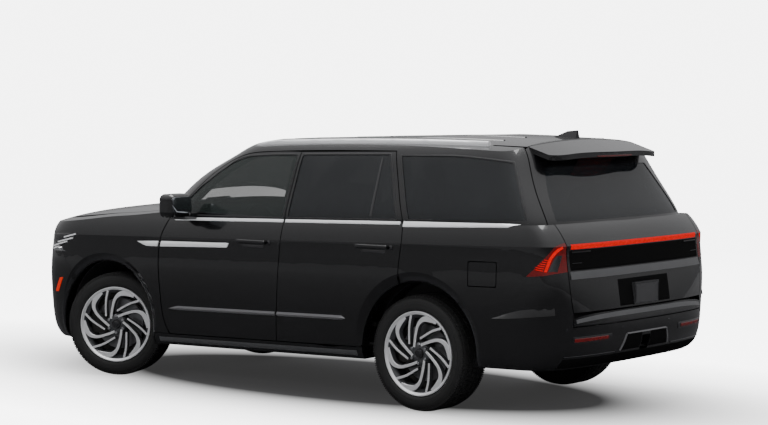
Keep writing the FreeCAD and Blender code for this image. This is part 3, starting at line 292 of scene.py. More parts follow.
def makeFloor(spec):
    mesh = bpy.data.meshes.new("floor")
    half = spec["floorHalf"]
    mesh.from_pydata([(-half, -half, 0), (half, -half, 0), (half, half, 0), (-half, half, 0)], [],
                     [(0, 1, 2, 3)])
    floor = bpy.data.objects.new("floor", mesh)
    bpy.context.collection.objects.link(floor)
    s = shaderFor("pale floor")
    far, near = s.radius(spec["glowStretch"]), s.radius(spec["shadeStretch"])
    glow = s.ramp(far, spec["glowRun"]) * spec["glow"] + spec["glowBase"]
    pale = s.mix(s.noise(0.6, 2), tuple(c * 0.98 for c in spec["floorColour"]),
                 spec["floorColour"])
    # Painted shadow: the floor colour goes dark in a soft patch round the part.
    pale = s.mix(s.ramp(near, spec["shadeRun"]), spec["shade"], pale)
    # Painted reflection: rays reflected off the part see the floor dark near it and lighter far
    # off, while the camera sees it pale.
    mirrored = s.mix(s.ramp(far, spec["mirrorRun"]), spec["mirroredNear"],
                     spec["mirroredFar"])
    glossy = s.node("ShaderNodeLightPath", output="Is Glossy Ray")
    seen = s.node("ShaderNodeLightPath", output="Is Camera Ray")
    s.set(Base_Color=s.mix(glossy, pale, mirrored), Roughness=0.9,
          Emission_Color=(1.0, 1.0, 1.0), Emission_Strength=glow * seen)
    mesh.materials.append(s.holder)


def makeSky(spec):
    world = bpy.data.worlds.new("studio")
    bpy.context.scene.world = world
    s = Shader(world)
    where = s.node("ShaderNodeTexCoord", output="Generated")
    up = s.node("ShaderNodeSeparateXYZ", None, where, output="Z")
    dome = s.node("ShaderNodeValToRGB", {"stops": spec["dome"]}, up * 0.5 + 0.5)
    seen = s.node("ShaderNodeLightPath", output="Is Camera Ray")
    s.set(Color=s.mix(seen, dome, spec["backdrop"]), Strength=spec["sky"])


lamps = {  # name: (place, aim, width, height, watts)
    "overhead": ((0, 0, 9), (0, 0, 0), 9, 5, 900),
    "tail": ((-11, 3, 5), (-2, 0, 1), 5, 3, 260),
    "flank": ((-2, 12, 6), (0, 0.5, 0.9), 10, 2.2, 420),
    "far": ((4, -11, 6), (0, 0, 1), 8, 3, 300),
}


def makeLamps(table):
    for name, (place, aim, width, height, watts) in table.items():
        data = bpy.data.lights.new(name, "AREA")
        data.shape, data.size, data.size_y, data.energy = "RECTANGLE", width, height, watts
        lamp = bpy.data.objects.new(name, data)
        bpy.context.collection.objects.link(lamp)
        lamp.location = place
        lamp.visible_glossy = name == "overhead"
        lamp.rotation_euler = (Vector(aim) - Vector(place)).to_track_quat("-Z", "Y").to_euler()


makeFloor(studio)
makeSky(studio)
makeLamps(lamps)
print("studio ready")

# Which finish each carried-over solid shows.
corners = ("front_left", "front_right", "rear_left", "rear_right")
sides = ((1, "left"), (-1, "right"))
finishOf = {
    "body_paint": ("body_sides", "roof_sides", "roof_panel", "hood", "front_fenders",
                   "front_bumper", "liftgate", "tail_flap", "rear_bumper", "door_front_left",
                   "door_front_right", "door_rear_left", "door_rear_right", "fuel_door",
                   "mirror_left", "mirror_right"),
    "trim_black": ("cowl", "wheel_liners", "dashboard", "floor_pan", "steering_wheel",
                   "fuel_tank"),
    "gloss_trim": ("antenna", "grille"),
    "bright_trim": ("roof_rails",),
    "plate_metal": ("number_plate",),
    "glass_dark": ("window_rear_left", "window_rear_right", "quarter_glass", "rear_glass"),
    "glass_light": ("window_front_left", "window_front_right", "windscreen"),
    "lamp_lens": ("headlamps",),
    "red_lens": ("tail_lamps",),
    "red_glow": ("light_bar",),
    "frame_black": ("chassis_frame", "engine"),
    "suspension_iron": ("knuckle_left", "knuckle_right", "front_suspension",
                        "rear_suspension"),
    "exhaust_steel": ("exhaust",),
    "seat_leather": ("front_seats", "rear_seats"),
    "wheel_alloy": tuple("wheel_" + corner for corner in corners),
    "tyre_rubber": tuple("tyre_" + corner for corner in corners),
}


def dress(table):
    for look, names in table.items():
        for name in names:
            slots = nodes[name].data.materials
            slots.clear()
            slots.append(looks[look])


dress(finishOf)
print("solids dressed")


# Helpers for added pieces. A coat is a material slot of the record and a look.
brightCoat = ("bright_trim", "bright_trim")
gunCoat = ("bright_trim", "gun_trim")
plainCoat = ("trim_black", "trim_black")
glossCoat = ("trim_black", "gloss_trim")
blackPanelAndShadeCoat = ("trim_black", "recess_black")
satinCoat = ("body_paint", "strip_satin")
duskCoat = ("body_paint", "satin_dark")
paintCoat = ("body_paint", "body_paint")
glowCoat = ("lamp_lens", "red_glow")
redCoat = ("lamp_lens", "red_lens")


def link(name, mesh, body, coat, smooth=None):
    slot, look = coat
    mesh.materials.clear()
    mesh.materials.append(looks[look])
    piece = bpy.data.objects.new(name, mesh)
    bpy.context.collection.objects.link(piece)
    if smooth is not None:
        mesh.polygons.foreach_set("use_smooth", [True] * len(mesh.polygons))
        mesh.set_sharp_from_angle(angle=math.radians(smooth))
    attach(piece, body)
    return piece


def meshFrom(name, bm):
    bmesh.ops.recalc_face_normals(bm, faces=bm.faces)
    mesh = bpy.data.meshes.new(name)
    bm.to_mesh(mesh)
    bm.free()
    return mesh


class Skin:  # solids that trim is laid on, found by straight lines
    def __init__(self, *names):
        self.body = bodyOf[names[0]]
        points, faces = [], []
        for name in names:
            mesh = nodes[name].data
            start = len(points)
            points += [v.co.copy() for v in mesh.vertices]
            faces += [[start + i for i in face.vertices] for face in mesh.polygons]
        self.tree = BVHTree.FromPolygons(points, faces)

    def hit(self, origin, ray):
        point, normal, index, far = self.tree.ray_cast(Vector(origin), Vector(ray))
        if point is None:
            return None, None
        return point, normal if normal.dot(Vector(ray)) < 0 else -normal


skinOf = functools.lru_cache(maxsize=None)(Skin)


def sideLine(side):
    return lambda x, z: ((x, side * 1.3, z), (0, -side, 0))


def tailLine(y, z):
    return (-3.2, y, z), (1, 0, 0)


def roofLine(x, y):
    return (x, y, 2.4), (0, 0, -1)


# Cross-section of a laid strip: (share across, share of its rise); sunk by a hair below.
stripSection = ((0, -0.25), (0.02, 0.55), (0.12, 0.95), (0.5, 1.0), (0.88, 0.95), (0.98, 0.55),
                (1, -0.25), (0.75, -0.25), (0.25, -0.25))


def layStrip(name, skin, line, rows, rise, coat, section=stripSection, smooth=40):
    # rows: pairs of points ((a, b), (a, b)) across the strip, in the line's own plane.
    # A row that misses the skin is left out, so a strip ends where its panel ends.
    bm = bmesh.new()
    rings = []
    for at, (low, high) in enumerate(rows):
        height = rise[at] if isinstance(rise, list) else rise
        places = []
        for share, lift in section:
            a = low[0] + (high[0] - low[0]) * share
            b = low[1] + (high[1] - low[1]) * share
            point, normal = skin.hit(*line(a, b))
            if point is not None:
                places.append(point + normal * height * lift)
        if len(places) == len(section):
            rings.append([bm.verts.new(place) for place in places])
    if len(rings) < 2:
        raise RuntimeError(name + " misses its skin")
    count = len(section)
    for first, second in zip(rings, rings[1:]):
        for i in range(count):
            j = (i + 1) % count
            bm.faces.new((first[i], first[j], second[j], second[i]))
    bm.faces.new(rings[0])
    bm.faces.new(rings[-1])
    return link(name, meshFrom(name, bm), skin.body, coat, smooth)


def spread(start, end, count):
    return [start + (end - start) * i / (count - 1) for i in range(count)]


def straight(first, last, count):
    # rows between two end pairs
    return [tuple(tuple(a + (b - a) * t for a, b in zip(p, q)) for p, q in zip(first, last))
            for t in spread(0, 1, count)]


def bandRows(start, end, band, count, last=None):
    # upright rows between two heights, which may differ at the end
    return straight(*(tuple((at, height) for height in heights)
                      for at, heights in ((start, band), (end, last or band))), count)


rake = math.tan(math.radians(1.146))


def atLevel(x, z):  # height of a line that runs parallel to the sill
    return z - rake * x


def raked(rows):
    return [tuple((x, atLevel(x, z)) for x, z in row) for row in rows]


def handed(names, hand):  # names that end in an underscore get the side's name
    return [name + hand if name.endswith("_") else name for name in names]


def laySides(runs):
    # runs: name, nodes, rows, rise, coat and, if they differ, section and smoothing
    for side, hand in sides:
        for name, names, rows, rise, coat, *rest in runs:
            layStrip(name + hand, skinOf(*handed(names, hand)), sideLine(side), rows, rise,
                     coat, *rest)


# One small tree repeats a mesh about the Y axis, realizes the copies and gives the finish.
treeNodes = {"start": "NodeGroupInput", "end": "NodeGroupOutput",
             "line": "GeometryNodeMeshLine", "index": "GeometryNodeInputIndex",
             "angle": "ShaderNodeMath", "divide": "ShaderNodeMath",
             "turn": "ShaderNodeCombineXYZ", "copies": "GeometryNodeInstanceOnPoints",
             "real": "GeometryNodeRealizeInstances", "coat": "GeometryNodeSetMaterial"}
treeWires = (("start", "Count", "line", "Count"), ("start", "Count", "divide", 1),
             ("divide", 0, "angle", 0), ("index", 0, "angle", 1), ("angle", 0, "turn", "Y"),
             ("line", 0, "copies", "Points"), ("start", "Geometry", "copies", "Instance"),
             ("turn", 0, "copies", "Rotation"), ("copies", 0, "real", 0),
             ("real", 0, "coat", "Geometry"), ("start", "Finish", "coat", "Material"),
             ("coat", 0, "end", 0))


def makeRepeatTree():
    tree = bpy.data.node_groups.new("repeatAboutAxle", "GeometryNodeTree")
    ports = {}
    for label, way, kind in (("Geometry", "INPUT", "Geometry"), ("Count", "INPUT", "Int"),
                             ("Finish", "INPUT", "Material"),
                             ("Geometry", "OUTPUT", "Geometry")):
        ports[label] = tree.interface.new_socket(label, in_out=way,
                                                 socket_type="NodeSocket" + kind).identifier
    made = {label: tree.nodes.new(kind) for label, kind in treeNodes.items()}
    made["line"].inputs["Offset"].default_value = (0, 0, 0)
    made["divide"].operation, made["angle"].operation = "DIVIDE", "MULTIPLY"
    made["divide"].inputs[0].default_value = 2 * math.pi
    for start, output, end, into in treeWires:
        tree.links.new(made[start].outputs[output], made[end].inputs[into])
    return tree, ports


repeatTree, repeatPorts = makeRepeatTree()


def settled(mesh, *changes):
    # mesh as modifiers leave it; a change is a kind and its values
    source = bpy.data.objects.new("source", mesh)
    bpy.context.collection.objects.link(source)
    for kind, values in changes:
        modifier = source.modifiers.new(kind, kind)
        for key, value in values.items():
            if hasattr(modifier, key):
                setattr(modifier, key, value)
            else:
                modifier[key] = value
    seen = source.evaluated_get(bpy.context.evaluated_depsgraph_get())
    result = bpy.data.meshes.new_from_object(seen)
    bpy.data.objects.remove(source)
    return result


def repeated(mesh, count, finish):
    return settled(mesh, ("NODES", {"node_group": repeatTree, repeatPorts["Count"]: count,
                                    repeatPorts["Finish"]: looks[finish]}))


def turned(section, steps, closed=True):
    # ring of (radius, y) points turned about Y
    bm = bmesh.new()
    rings = []
    for i in range(steps):
        angle = 2 * math.pi * i / steps
        rings.append([bm.verts.new((-r * math.cos(angle), y, r * math.sin(angle)))
                      for r, y in section])
    count = len(section)
    for i, ring in enumerate(rings):
        following = rings[(i + 1) % steps]
        for j in range(count if closed else count - 1):
            k = (j + 1) % count
            bm.faces.new((ring[j], ring[k], following[k], following[j]))
    return bm


def block(bm, low, high, bevel):
    made = bmesh.ops.create_cube(bm, size=1)["verts"]
    for v in made:
        v.co = Vector(l + (h - l) * (c + 0.5) for l, h, c in zip(low, high, v.co))
    edges = list({e for v in made for e in v.link_edges})
    if bevel:
        bmesh.ops.bevel(bm, geom=edges, offset=bevel, segments=1, affect="EDGES")
    return made


def joinMeshes(name, *meshes):
    bm = bmesh.new()
    for mesh in meshes:
        bm.from_mesh(mesh)
    joined = bpy.data.meshes.new(name)
    bm.to_mesh(joined)
    bm.free()
    return joined


# Wheel places: centre and turn about Z, outboard side along local +Y.
steer = 23.2
wheelPlaces = {"front_left": ((1.6880, 0.8503, 0.4075), steer),
               "front_right": ((1.7140, -0.8503, 0.4075), 180 + steer),
               "rear_left": ((-1.410, 0.853, 0.4075), 0),
               "rear_right": ((-1.410, -0.853, 0.4075), 180)}


def atWheel(mesh, corner):
    centre, angle = wheelPlaces[corner]
    copy = mesh.copy()
    copy.transform(Matrix.Translation(centre) @ Matrix.Rotation(math.radians(angle), 4, "Z"))
    return copy


tyre = {"radius": 0.4075, "width": 0.285, "bead": 0.2800, "flange": 0.2965, "blocks": 76,
        "grooveDepth": 0.007, "steps": 160}


def tyreSection(spec):
    half, r = spec["width"] / 2, spec["radius"] - spec["grooveDepth"]
    outer = [(spec["flange"] + 0.0004, half - 0.0235), (0.300, half - 0.016),
             (0.304, half - 0.0085), (0.310, half - 0.0045), (0.3225, half - 0.002),
             (0.3235, half - 0.0008), (0.3270, half - 0.0008), (0.3280, half - 0.0015),
             (0.340, half), (0.352, half - 0.0008), (0.3525, half - 0.0022),
             (0.3555, half - 0.0024), (0.356, half - 0.0014), (0.368, half - 0.0040),
             (0.3685, half - 0.0052), (0.371, half - 0.0058), (0.3715, half - 0.0052),
             (0.380, half - 0.0095), (0.389, half - 0.0165), (0.396, half - 0.0270),
             (r, half - 0.042)]
    inner = [(radius, -y) for radius, y in reversed(outer)]
    bore = [(spec["bead"], -half + 0.0235), (spec["bead"], half - 0.0235)]
    return outer + inner + bore


def treadBlocks(spec):
    # five ribs of blocks; each row is one mesh repeated round the tyre
    top, base = spec["radius"], spec["radius"] - spec["grooveDepth"] - 0.002
    pitch = 2 * math.pi * spec["radius"] / spec["blocks"]
    rows = ((-0.026, 0.026, 0.86, 0.0), (0.035, 0.078, 0.88, 0.3), (-0.078, -0.035, 0.88, 0.6),
            (0.087, 0.117, 0.80, 0.15), (-0.117, -0.087, 0.80, 0.5))
    meshes = []
    for low, high, share, shift in rows:
        bm = bmesh.new()
        drop = 0.0012 if max(abs(low), abs(high)) > 0.1 else 0.0004
        length = pitch * share / 2
        block(bm, (-length + shift * pitch, low, base), (length + shift * pitch, high, top - drop),
              0.0012)
        for v in bm.verts:
            v.co.z -= v.co.x ** 2 / (2 * top) + max(abs(v.co.y) - 0.09, 0) * 0.22
            v.co.x += v.co.y * 0.12 * (1 if abs(v.co.y) < 0.08 else 0)
        meshes.append(repeated(meshFrom("tread", bm), spec["blocks"], "tyre_rubber"))
    bm = bmesh.new()
    for side in (-1, 1):
        block(bm, (-0.0042, side * 0.1285 - 0.008, 0.3815), (0.0042, side * 0.1285 + 0.006,
                                                             0.3965), 0.001)
    meshes.append(repeated(meshFrom("shoulder", bm), spec["blocks"] * 2, "tyre_rubber"))
    return meshes


def makeTyre(spec):
    carcass = meshFrom("carcass", turned(tyreSection(spec), spec["steps"]))
    return joinMeshes("tyre", carcass, *treadBlocks(spec))


wheel = {"reach": 0.2795, "front": 0.1245, "depth": 0.034, "dish": 0.010, "groups": 6,
         "hook": ((0.22, 137), (0.45, 104.5), (0.70, 92.6), (0.86, 82), (0.93, 70),
                  (0.965, 55)),
         "hookBreadth": (0.070, 0.075, 0.085, 0.12, 0.14, 0.06),
         "blade": ((0.38, 145), (0.70, 115.5), (0.975, 104)),
         "bladeBreadth": (0.055, 0.06, 0.065),
         "rim": ((0.2965, 0.1195), (0.2965, 0.1345), (0.2945, 0.1362), (0.2885, 0.1362),
                 (0.2845, 0.1330), (0.2790, 0.1260), (0.2735, 0.1230)),
         "barrel": ((0.2735, 0.1230), (0.2660, 0.1080), (0.2640, 0.0850), (0.2640, -0.1240),
                    (0.2700, -0.1362), (0.2945, -0.1362), (0.2965, -0.1345),
                    (0.2965, -0.1240), (0.2793, -0.1180), (0.2793, 0.1190),
                    (0.2965, 0.1195)),
         "nutCircle": 0.0675, "nutRadius": 0.0125, "capRadius": 0.036}


def smoothLine(points, count):
    # Catmull-Rom line through the points
    padded = [2 * points[0] - points[1], *points, 2 * points[-1] - points[-2]]
    line = []
    for i in range(count):
        t = i / (count - 1) * (len(points) - 1)
        k = min(int(t), len(points) - 2)
        f = t - k
        a, b, c, e = padded[k:k + 4]
        line.append(0.5 * (2 * b + (c - a) * f + (2 * a - 5 * b + 4 * c - e) * f ** 2
                           + (3 * b - a - 3 * c + e) * f ** 3))
    return line


def spokeMesh(spec, shares, breadths, count):
    bm = bmesh.new()
    knots = [Vector((r * math.cos(math.radians(a)), r * math.sin(math.radians(a)), w))
             * spec["reach"] for (r, a), w in zip(shares, breadths)]
    line = smoothLine(knots, count)
    rings = []
    for i, p in enumerate(line):
        before, after = line[max(i - 1, 0)], line[min(i + 1, count - 1)]
        along = (after - before).xy.normalized()
        across = Vector((-along.y, along.x))
        half, radius = p.z / 2, p.xy.length
        top = spec["front"] - spec["dish"] * (1 - radius / spec["reach"]) ** 1.2
        ring = []
        for share, sink in ((-1.5, spec["depth"]), (-1.0, 0.0022), (-0.86, 0), (0.86, 0),
                            (1.0, 0.0022), (1.5, spec["depth"])):
            q = p.xy + across * half * share
            ring.append(bm.verts.new((-q.x, top - sink, q.y)))
        rings.append(ring)
    shiny = {1, 2, 3}
    for first, second in zip(rings, rings[1:]):
        for j in range(6):
            k = (j + 1) % 6
            face = bm.faces.new((first[j], first[k], second[k], second[j]))
            face.material_index = 0 if j in shiny else 1
    for ring in (rings[0], rings[-1]):
        bm.faces.new(ring).material_index = 1
    return meshFrom("spoke", bm)


def splitFinish(mesh, index):
    bm = bmesh.new()
    bm.from_mesh(mesh)
    bmesh.ops.delete(bm, geom=[f for f in bm.faces if f.material_index != index],
                     context="FACES")
    for face in bm.faces:
        face.material_index = 0
    part = bpy.data.meshes.new("part")
    bm.to_mesh(part)
    bm.free()
    return part


def makeWheel(spec):
    bright, dark = [], []
    for shares, breadths in ((spec["hook"], spec["hookBreadth"]),
                             (spec["blade"], spec["bladeBreadth"])):
        spoke = spokeMesh(spec, shares, breadths, 26)
        bright.append(repeated(splitFinish(spoke, 0), spec["groups"], "wheel_alloy"))
        dark.append(repeated(splitFinish(spoke, 1), spec["groups"], "wheel_pocket"))
    bright.append(meshFrom("lip", turned(spec["rim"], 128, closed=False)))
    dark.append(meshFrom("barrel", turned(spec["barrel"], 128, closed=False)))
    ramp = ((0.2740, 0.1225), (0.2520, 0.1010), (0.2480, 0.0930), (0.2700, 0.0900))
    dark.append(meshFrom("ramp", turned(ramp, 128)))
    hub = ((0.0385, 0.1145), (0.060, 0.1120), (0.078, 0.1040), (0.0835, 0.0900),
           (0.0835, 0.0240), (0.0385, 0.0240))
    dark.append(meshFrom("hub", turned(hub, 96)))
    return joinMeshes("bright", *bright), joinMeshes("dark", *dark)


def makeNuts(spec):
    bm = bmesh.new()
    bmesh.ops.create_cone(bm, cap_ends=True, segments=6, radius1=spec["nutRadius"],
                          radius2=spec["nutRadius"] * 0.92, depth=0.022)
    bmesh.ops.bevel(bm, geom=list(bm.edges), offset=0.0016, segments=2, affect="EDGES")
    bmesh.ops.rotate(bm, verts=bm.verts, matrix=Matrix.Rotation(-math.pi / 2, 3, "X"))
    bmesh.ops.translate(bm, verts=bm.verts, vec=(0, 0.1190, spec["nutCircle"]))
    return repeated(meshFrom("nut", bm), 6, "chrome")


def makeCap(spec):
    r = spec["capRadius"]
    section = ((0.0006, 0.1245), (r * 0.55, 0.1240), (r * 0.62, 0.1222), (r * 0.86, 0.1222),
               (r * 0.90, 0.1235), (r * 0.97, 0.1225), (r, 0.1180), (r, 0.0400),
               (0.0006, 0.0400))
    return meshFrom("cap", turned(section, 64))


discSection = ((0.092, 0.0085), (0.199, 0.0085), (0.2, 0.0095), (0.2, 0.0150), (0.196, 0.0160),
               (0.196, 0.0205), (0.2, 0.0215), (0.2, 0.0390), (0.199, 0.0400), (0.092, 0.0400))


def wheelsAndTyres():
    rubber = makeTyre(tyre)
    bright, dark = makeWheel(wheel)
    parts = (("spokes", bright, "wheel_alloy", 24), ("rim", dark, "wheel_pocket", 30),
             ("nuts", makeNuts(wheel), "chrome", 30), ("cap", makeCap(wheel), "gloss_trim", 30),
             ("disc", meshFrom("disc", turned(discSection, 96)), "brake_steel", 30))
    for corner in corners:
        body = "wheel_" + corner
        shod = link("tyre_tread_" + corner, atWheel(rubber, corner), body,
                    ("tyre_rubber", "tyre_rubber"), 32)
        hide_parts("tyre_" + corner)
        for label, mesh, look, smooth in parts:
            piece = link("%s_%s" % (label, corner), atWheel(mesh, corner), body,
                         ("wheel_alloy", look), smooth)
            if label == "rim":
                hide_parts("wheel_" + corner)
    print("wheels and tyres ready")


wheelsAndTyres()

# Bright and dark strips laid along the sides.
ridgeSection = ((0, -0.3), (0.06, 0.2), (0.42, 1.0), (0.55, 1.0), (1, 0.1), (1, -0.3))
beltBand, doorBand, sillBand = (1.2725, 1.2955), (0.5870, 0.6185), (0.336, 0.372)
quarterBand, quarterEnd = (1.257, 1.2975), (1.267, 1.293)
sideRuns = (
    ("belt_strip_front_", ("door_front_",), raked(bandRows(0.962, -0.150, beltBand, 24)), 0.005,
     brightCoat),
    ("belt_strip_rear_", ("door_rear_",), raked(bandRows(-0.172, -1.246, beltBand, 24)), 0.005,
     brightCoat),
    ("belt_strip_quarter_", ("body_sides", "roof_sides"),
     raked(bandRows(-1.275, -2.175, quarterBand, 20, quarterEnd)
           + [((-2.190, 1.2745), (-2.262, 1.289))]), 0.006, brightCoat),
    ("door_strip_front_", ("door_front_",),
     raked([((1.000, 0.5960), (0.996, 0.59892)), ((0.955, 0.5885), (0.940, 0.6120))]
           + bandRows(0.905, -0.098, doorBand, 24)), 0.010, satinCoat, ridgeSection, 25),
    ("door_strip_rear_", ("door_rear_",),
     raked(bandRows(-0.118, -0.735, doorBand, 16) + [((-0.772, 0.59846), (-0.770, 0.6005))]),
     0.010, satinCoat, ridgeSection, 25),
    ("side_blade_wing_", ("front_fenders",),
     [((1.336, 1.0785), (1.341, 1.0800)), ((1.290, 1.0600), (1.270, 1.0830)),
      ((1.244, 1.0470), (1.200, 1.0865)), ((1.170, 1.0475), (1.140, 1.0890)),
      ((1.120, 1.0480), (1.108, 1.0905)), ((1.112, 1.0481), (1.100, 1.0907)),
      ((1.104, 1.0482), (1.092, 1.0910))], 0.008, brightCoat),
    ("side_blade_door_", ("door_front_",),
     straight(((1.088, 1.0484), (1.076, 1.0912)), ((0.400, 1.06904), (0.388, 1.104272)), 16)
     + [((0.384, 1.0700), (0.366, 1.1040))], 0.008, brightCoat))
laySides(sideRuns)
print("side strips ready")

# Tail: laid panels, lamps, plate, reflectors and the parts of the valance.
tailTrim = {"step": (0.79, 0.700, 0.732), "stepBow": (0.020, 0.028),
            "hitch": ((0.060, 0.300), 0.455, 0.566), "hitchSlope": 0.050, "hitchEdge": 0.012,
            "sealBox": ((-2.530, -0.78, 0.690), (-2.520, 0.78, 0.800)), "sealBevel": 0.002,
            "sensors": ((0.86, 0.640), (0.30, 0.620)), "sensorRadius": 0.011,
            "plateInset": 0.004, "plateReach": 0.148, "plateRim": 0.006, "plateGap": 0.0005,
            "dashSlope": 0.15, "dashHeight": 0.0055}
wedgeSection = ((0, -0.3), (0, 1.0), (0.5, 0.6), (1, 0.1), (1, -0.3), (0.5, -0.3))
stepRows = [((x, low), (x, high)) for x, low, high in (
    (-2.530, 0.742, 0.790), (-2.480, 0.737, 0.788), (-2.40, 0.728, 0.781),
    (-2.30, 0.716, 0.768), (-2.20, 0.706, 0.742), (-2.12, 0.702, 0.718),
    (-2.07, 0.700, 0.704))]
fieldRows = [((rear, z), (front, z)) for rear, front, z in (
    (-2.4990, -2.5390, 1.0300), (-2.5090, -2.5410, 1.0700), (-2.5200, -2.5430, 1.1100),
    (-2.5300, -2.5440, 1.1350))]
lampDashes = ((-2.402, -2.470, 1.034), (-2.418, -2.474, 1.048), (-2.434, -2.478, 1.062),
              (-2.449, -2.482, 1.076), (-2.462, -2.487, 1.090), (-2.474, -2.492, 1.104))
guideLine = ((-2.4925, 1.0290), (-2.5130, 1.1150), (-2.5290, 1.1480), (-2.5400, 1.1690),
             (-2.5475, 1.1800))
guideInner = ((-2.4757, 1.0300), (-2.4950, 1.1120), (-2.5180, 1.1600), (-2.5360, 1.1850),
              (-2.5475, 1.1960))


tailRuns = (  # name, nodes, Y from and to, heights, rows, rise, coat and section if it differs
    ("gate_applique", ("liftgate",), -0.812, 0.812, (1.030, 1.166), 40, 0.003, blackPanelAndShadeCoat),
    ("gate_ledge", ("liftgate",), -0.822, 0.822, (0.972, 1.024), 40, 0.010, duskCoat,
     wedgeSection),
    ("valance_panel", ("rear_bumper",), -0.86, 0.86, (0.372, 0.440), 40, 0.003, blackPanelAndShadeCoat),
    ("hitch_lip", ("rear_bumper",), -0.25, 0.25, (0.568, 0.576), 30, 0.010, satinCoat,
     wedgeSection),
    ("applique_dash_0_", ("liftgate",), 0.70, 0.795, (1.0755, 1.0805), 8, 0.0055, gunCoat),
    ("applique_dash_1_", ("liftgate",), 0.60, 0.795, (1.146, 1.1575), 8, 0.0055, gunCoat),
    ("reflector_", ("rear_bumper",), 0.470, 0.800, (0.553, 0.579), 10, 0.006, redCoat),
    ("reflector_frame_", ("rear_bumper",), 0.430, 0.810, (0.543, 0.589), 10, 0.003, glossCoat),
    ("bar_glow", ("light_bar", "liftgate"), -0.793, 0.793, (1.1831, 1.1985), 48, 0.004,
     glowCoat),
    # Painted shade: a near-black sheet laid in the plate pocket where the recess is in shade.
    ("plate_pocket", ("liftgate",), -0.318, 0.318, (0.762, 0.945), 16, 0.002, blackPanelAndShadeCoat),
    # Painted highlight: a thin metallic strip along the flap's shut line stands in for the light
    # caught on its edge.
    ("flap_line", ("tail_flap",), -0.80, 0.80, (0.664, 0.670), 40, 0.003, gunCoat),
    ("valance_line", ("rear_bumper",), -0.86, -0.36, (0.448, 0.458), 16, 0.004, gunCoat),
    ("valance_line_left", ("rear_bumper",), 0.36, 0.86, (0.448, 0.458), 16, 0.004, gunCoat),
    ("high_lamp", ("liftgate",), -0.22, 0.22, (1.765, 1.778), 16, 0.003, redCoat))


def discOn(name, skin, line, a, b, radius, rise, coat):
    # flat button on a skin
    point, normal = skin.hit(*line(a, b))
    bm = bmesh.new()
    bmesh.ops.create_cone(bm, cap_ends=True, segments=40, radius1=radius, radius2=radius * 0.86,
                          depth=rise * 2)
    turn = normal.to_track_quat("Z", "Y").to_matrix().to_4x4()
    bmesh.ops.transform(bm, verts=bm.verts, matrix=Matrix.Translation(point) @ turn)
    return link(name, meshFrom(name, bm), skin.body, coat, 35)


def plateFrame(spec):
    low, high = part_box("number_plate")
    bottom, top = low[2] + spec["plateInset"], high[2] - spec["plateInset"]
    reach, rim = spec["plateReach"], spec["plateRim"]
    sideBand = (bottom + rim + spec["plateGap"], top - rim - spec["plateGap"])
    for label, near, far, band in (("low", -reach, reach, (bottom, bottom + rim)),
                                   ("high", -reach, reach, (top - rim, top)),
                                   ("left", reach - rim, reach, sideBand),
                                   ("right", -reach, rim - reach, sideBand)):
        layStrip("plate_frame_" + label, skinOf("number_plate"), tailLine,
                 bandRows(near, far, band, 8), 0.0025, gunCoat)


def tailGroup(spec):
    for name, names, near, far, band, count, rise, coat, *rest in tailRuns:
        for side, hand in sides if name.endswith("_") else ((1, ""),):
            layStrip(name + hand, skinOf(*names), tailLine,
                     bandRows(side * near, side * far, band, count), rise, coat, *rest)
    half, low, high = spec["step"]
    lowBow, highBow = spec["stepBow"]
    rows = [((y, low - lowBow * (y / half) ** 4), (y, high - highBow * (y / half) ** 4))
            for y in spread(-half, half, 60)]
    layStrip("flap_step", skinOf("tail_flap"), tailLine, rows, 0.010, duskCoat, wedgeSection)
    bumper = skinOf("rear_bumper")
    (near, far), low, high = spec["hitch"]
    inner = far - spec["hitchSlope"]
    for side, hand in sides:
        # Painted shade: near-black sheets laid in the hitch pocket where it is in shade.
        rows = [((side * y, low), (side * min(y, inner), high)) for y in spread(near, far, 12)]
        layStrip("hitch_panel_" + hand, bumper, tailLine, rows, 0.003, blackPanelAndShadeCoat)
        rows = straight(*(((side * y, z), (side * (y + spec["hitchEdge"]), z + 0.006))
                          for y, z in ((inner, high), (far, low))), 10)
        layStrip("hitch_edge_" + hand, bumper, tailLine, rows, 0.008, satinCoat)
        for i, (y, z) in enumerate(spec["sensors"]):
            discOn("sensor_%d_%s" % (i, hand), bumper, tailLine, side * y, z,
                   spec["sensorRadius"], 0.002, glossCoat)
    plateFrame(spec)
    bm = bmesh.new()
    block(bm, *spec["sealBox"], spec["sealBevel"])
    link("cargo_sill_seal", meshFrom("seal", bm), "body", plainCoat)
    lamps = ("tail_lamps", "body_sides")
    laySides([("bumper_step_", ("rear_bumper",), stepRows, 0.012, paintCoat, wedgeSection, 50),
              ("lamp_guide_", lamps, list(zip(guideLine, guideInner)), 0.004, glowCoat),
              ("lamp_field_", lamps, fieldRows, 0.0025, glossCoat)]
             + [("lamp_dash_%d_" % i, lamps,
                 straight(*(((x, z + (x - end) * spec["dashSlope"]),
                             (x, z + spec["dashHeight"] + (x - end) * spec["dashSlope"]))
                            for x in (start, end)), 6), 0.003, glowCoat)
                for i, (start, end, z) in enumerate(lampDashes)])
    print("tail ready")


tailGroup(tailTrim)

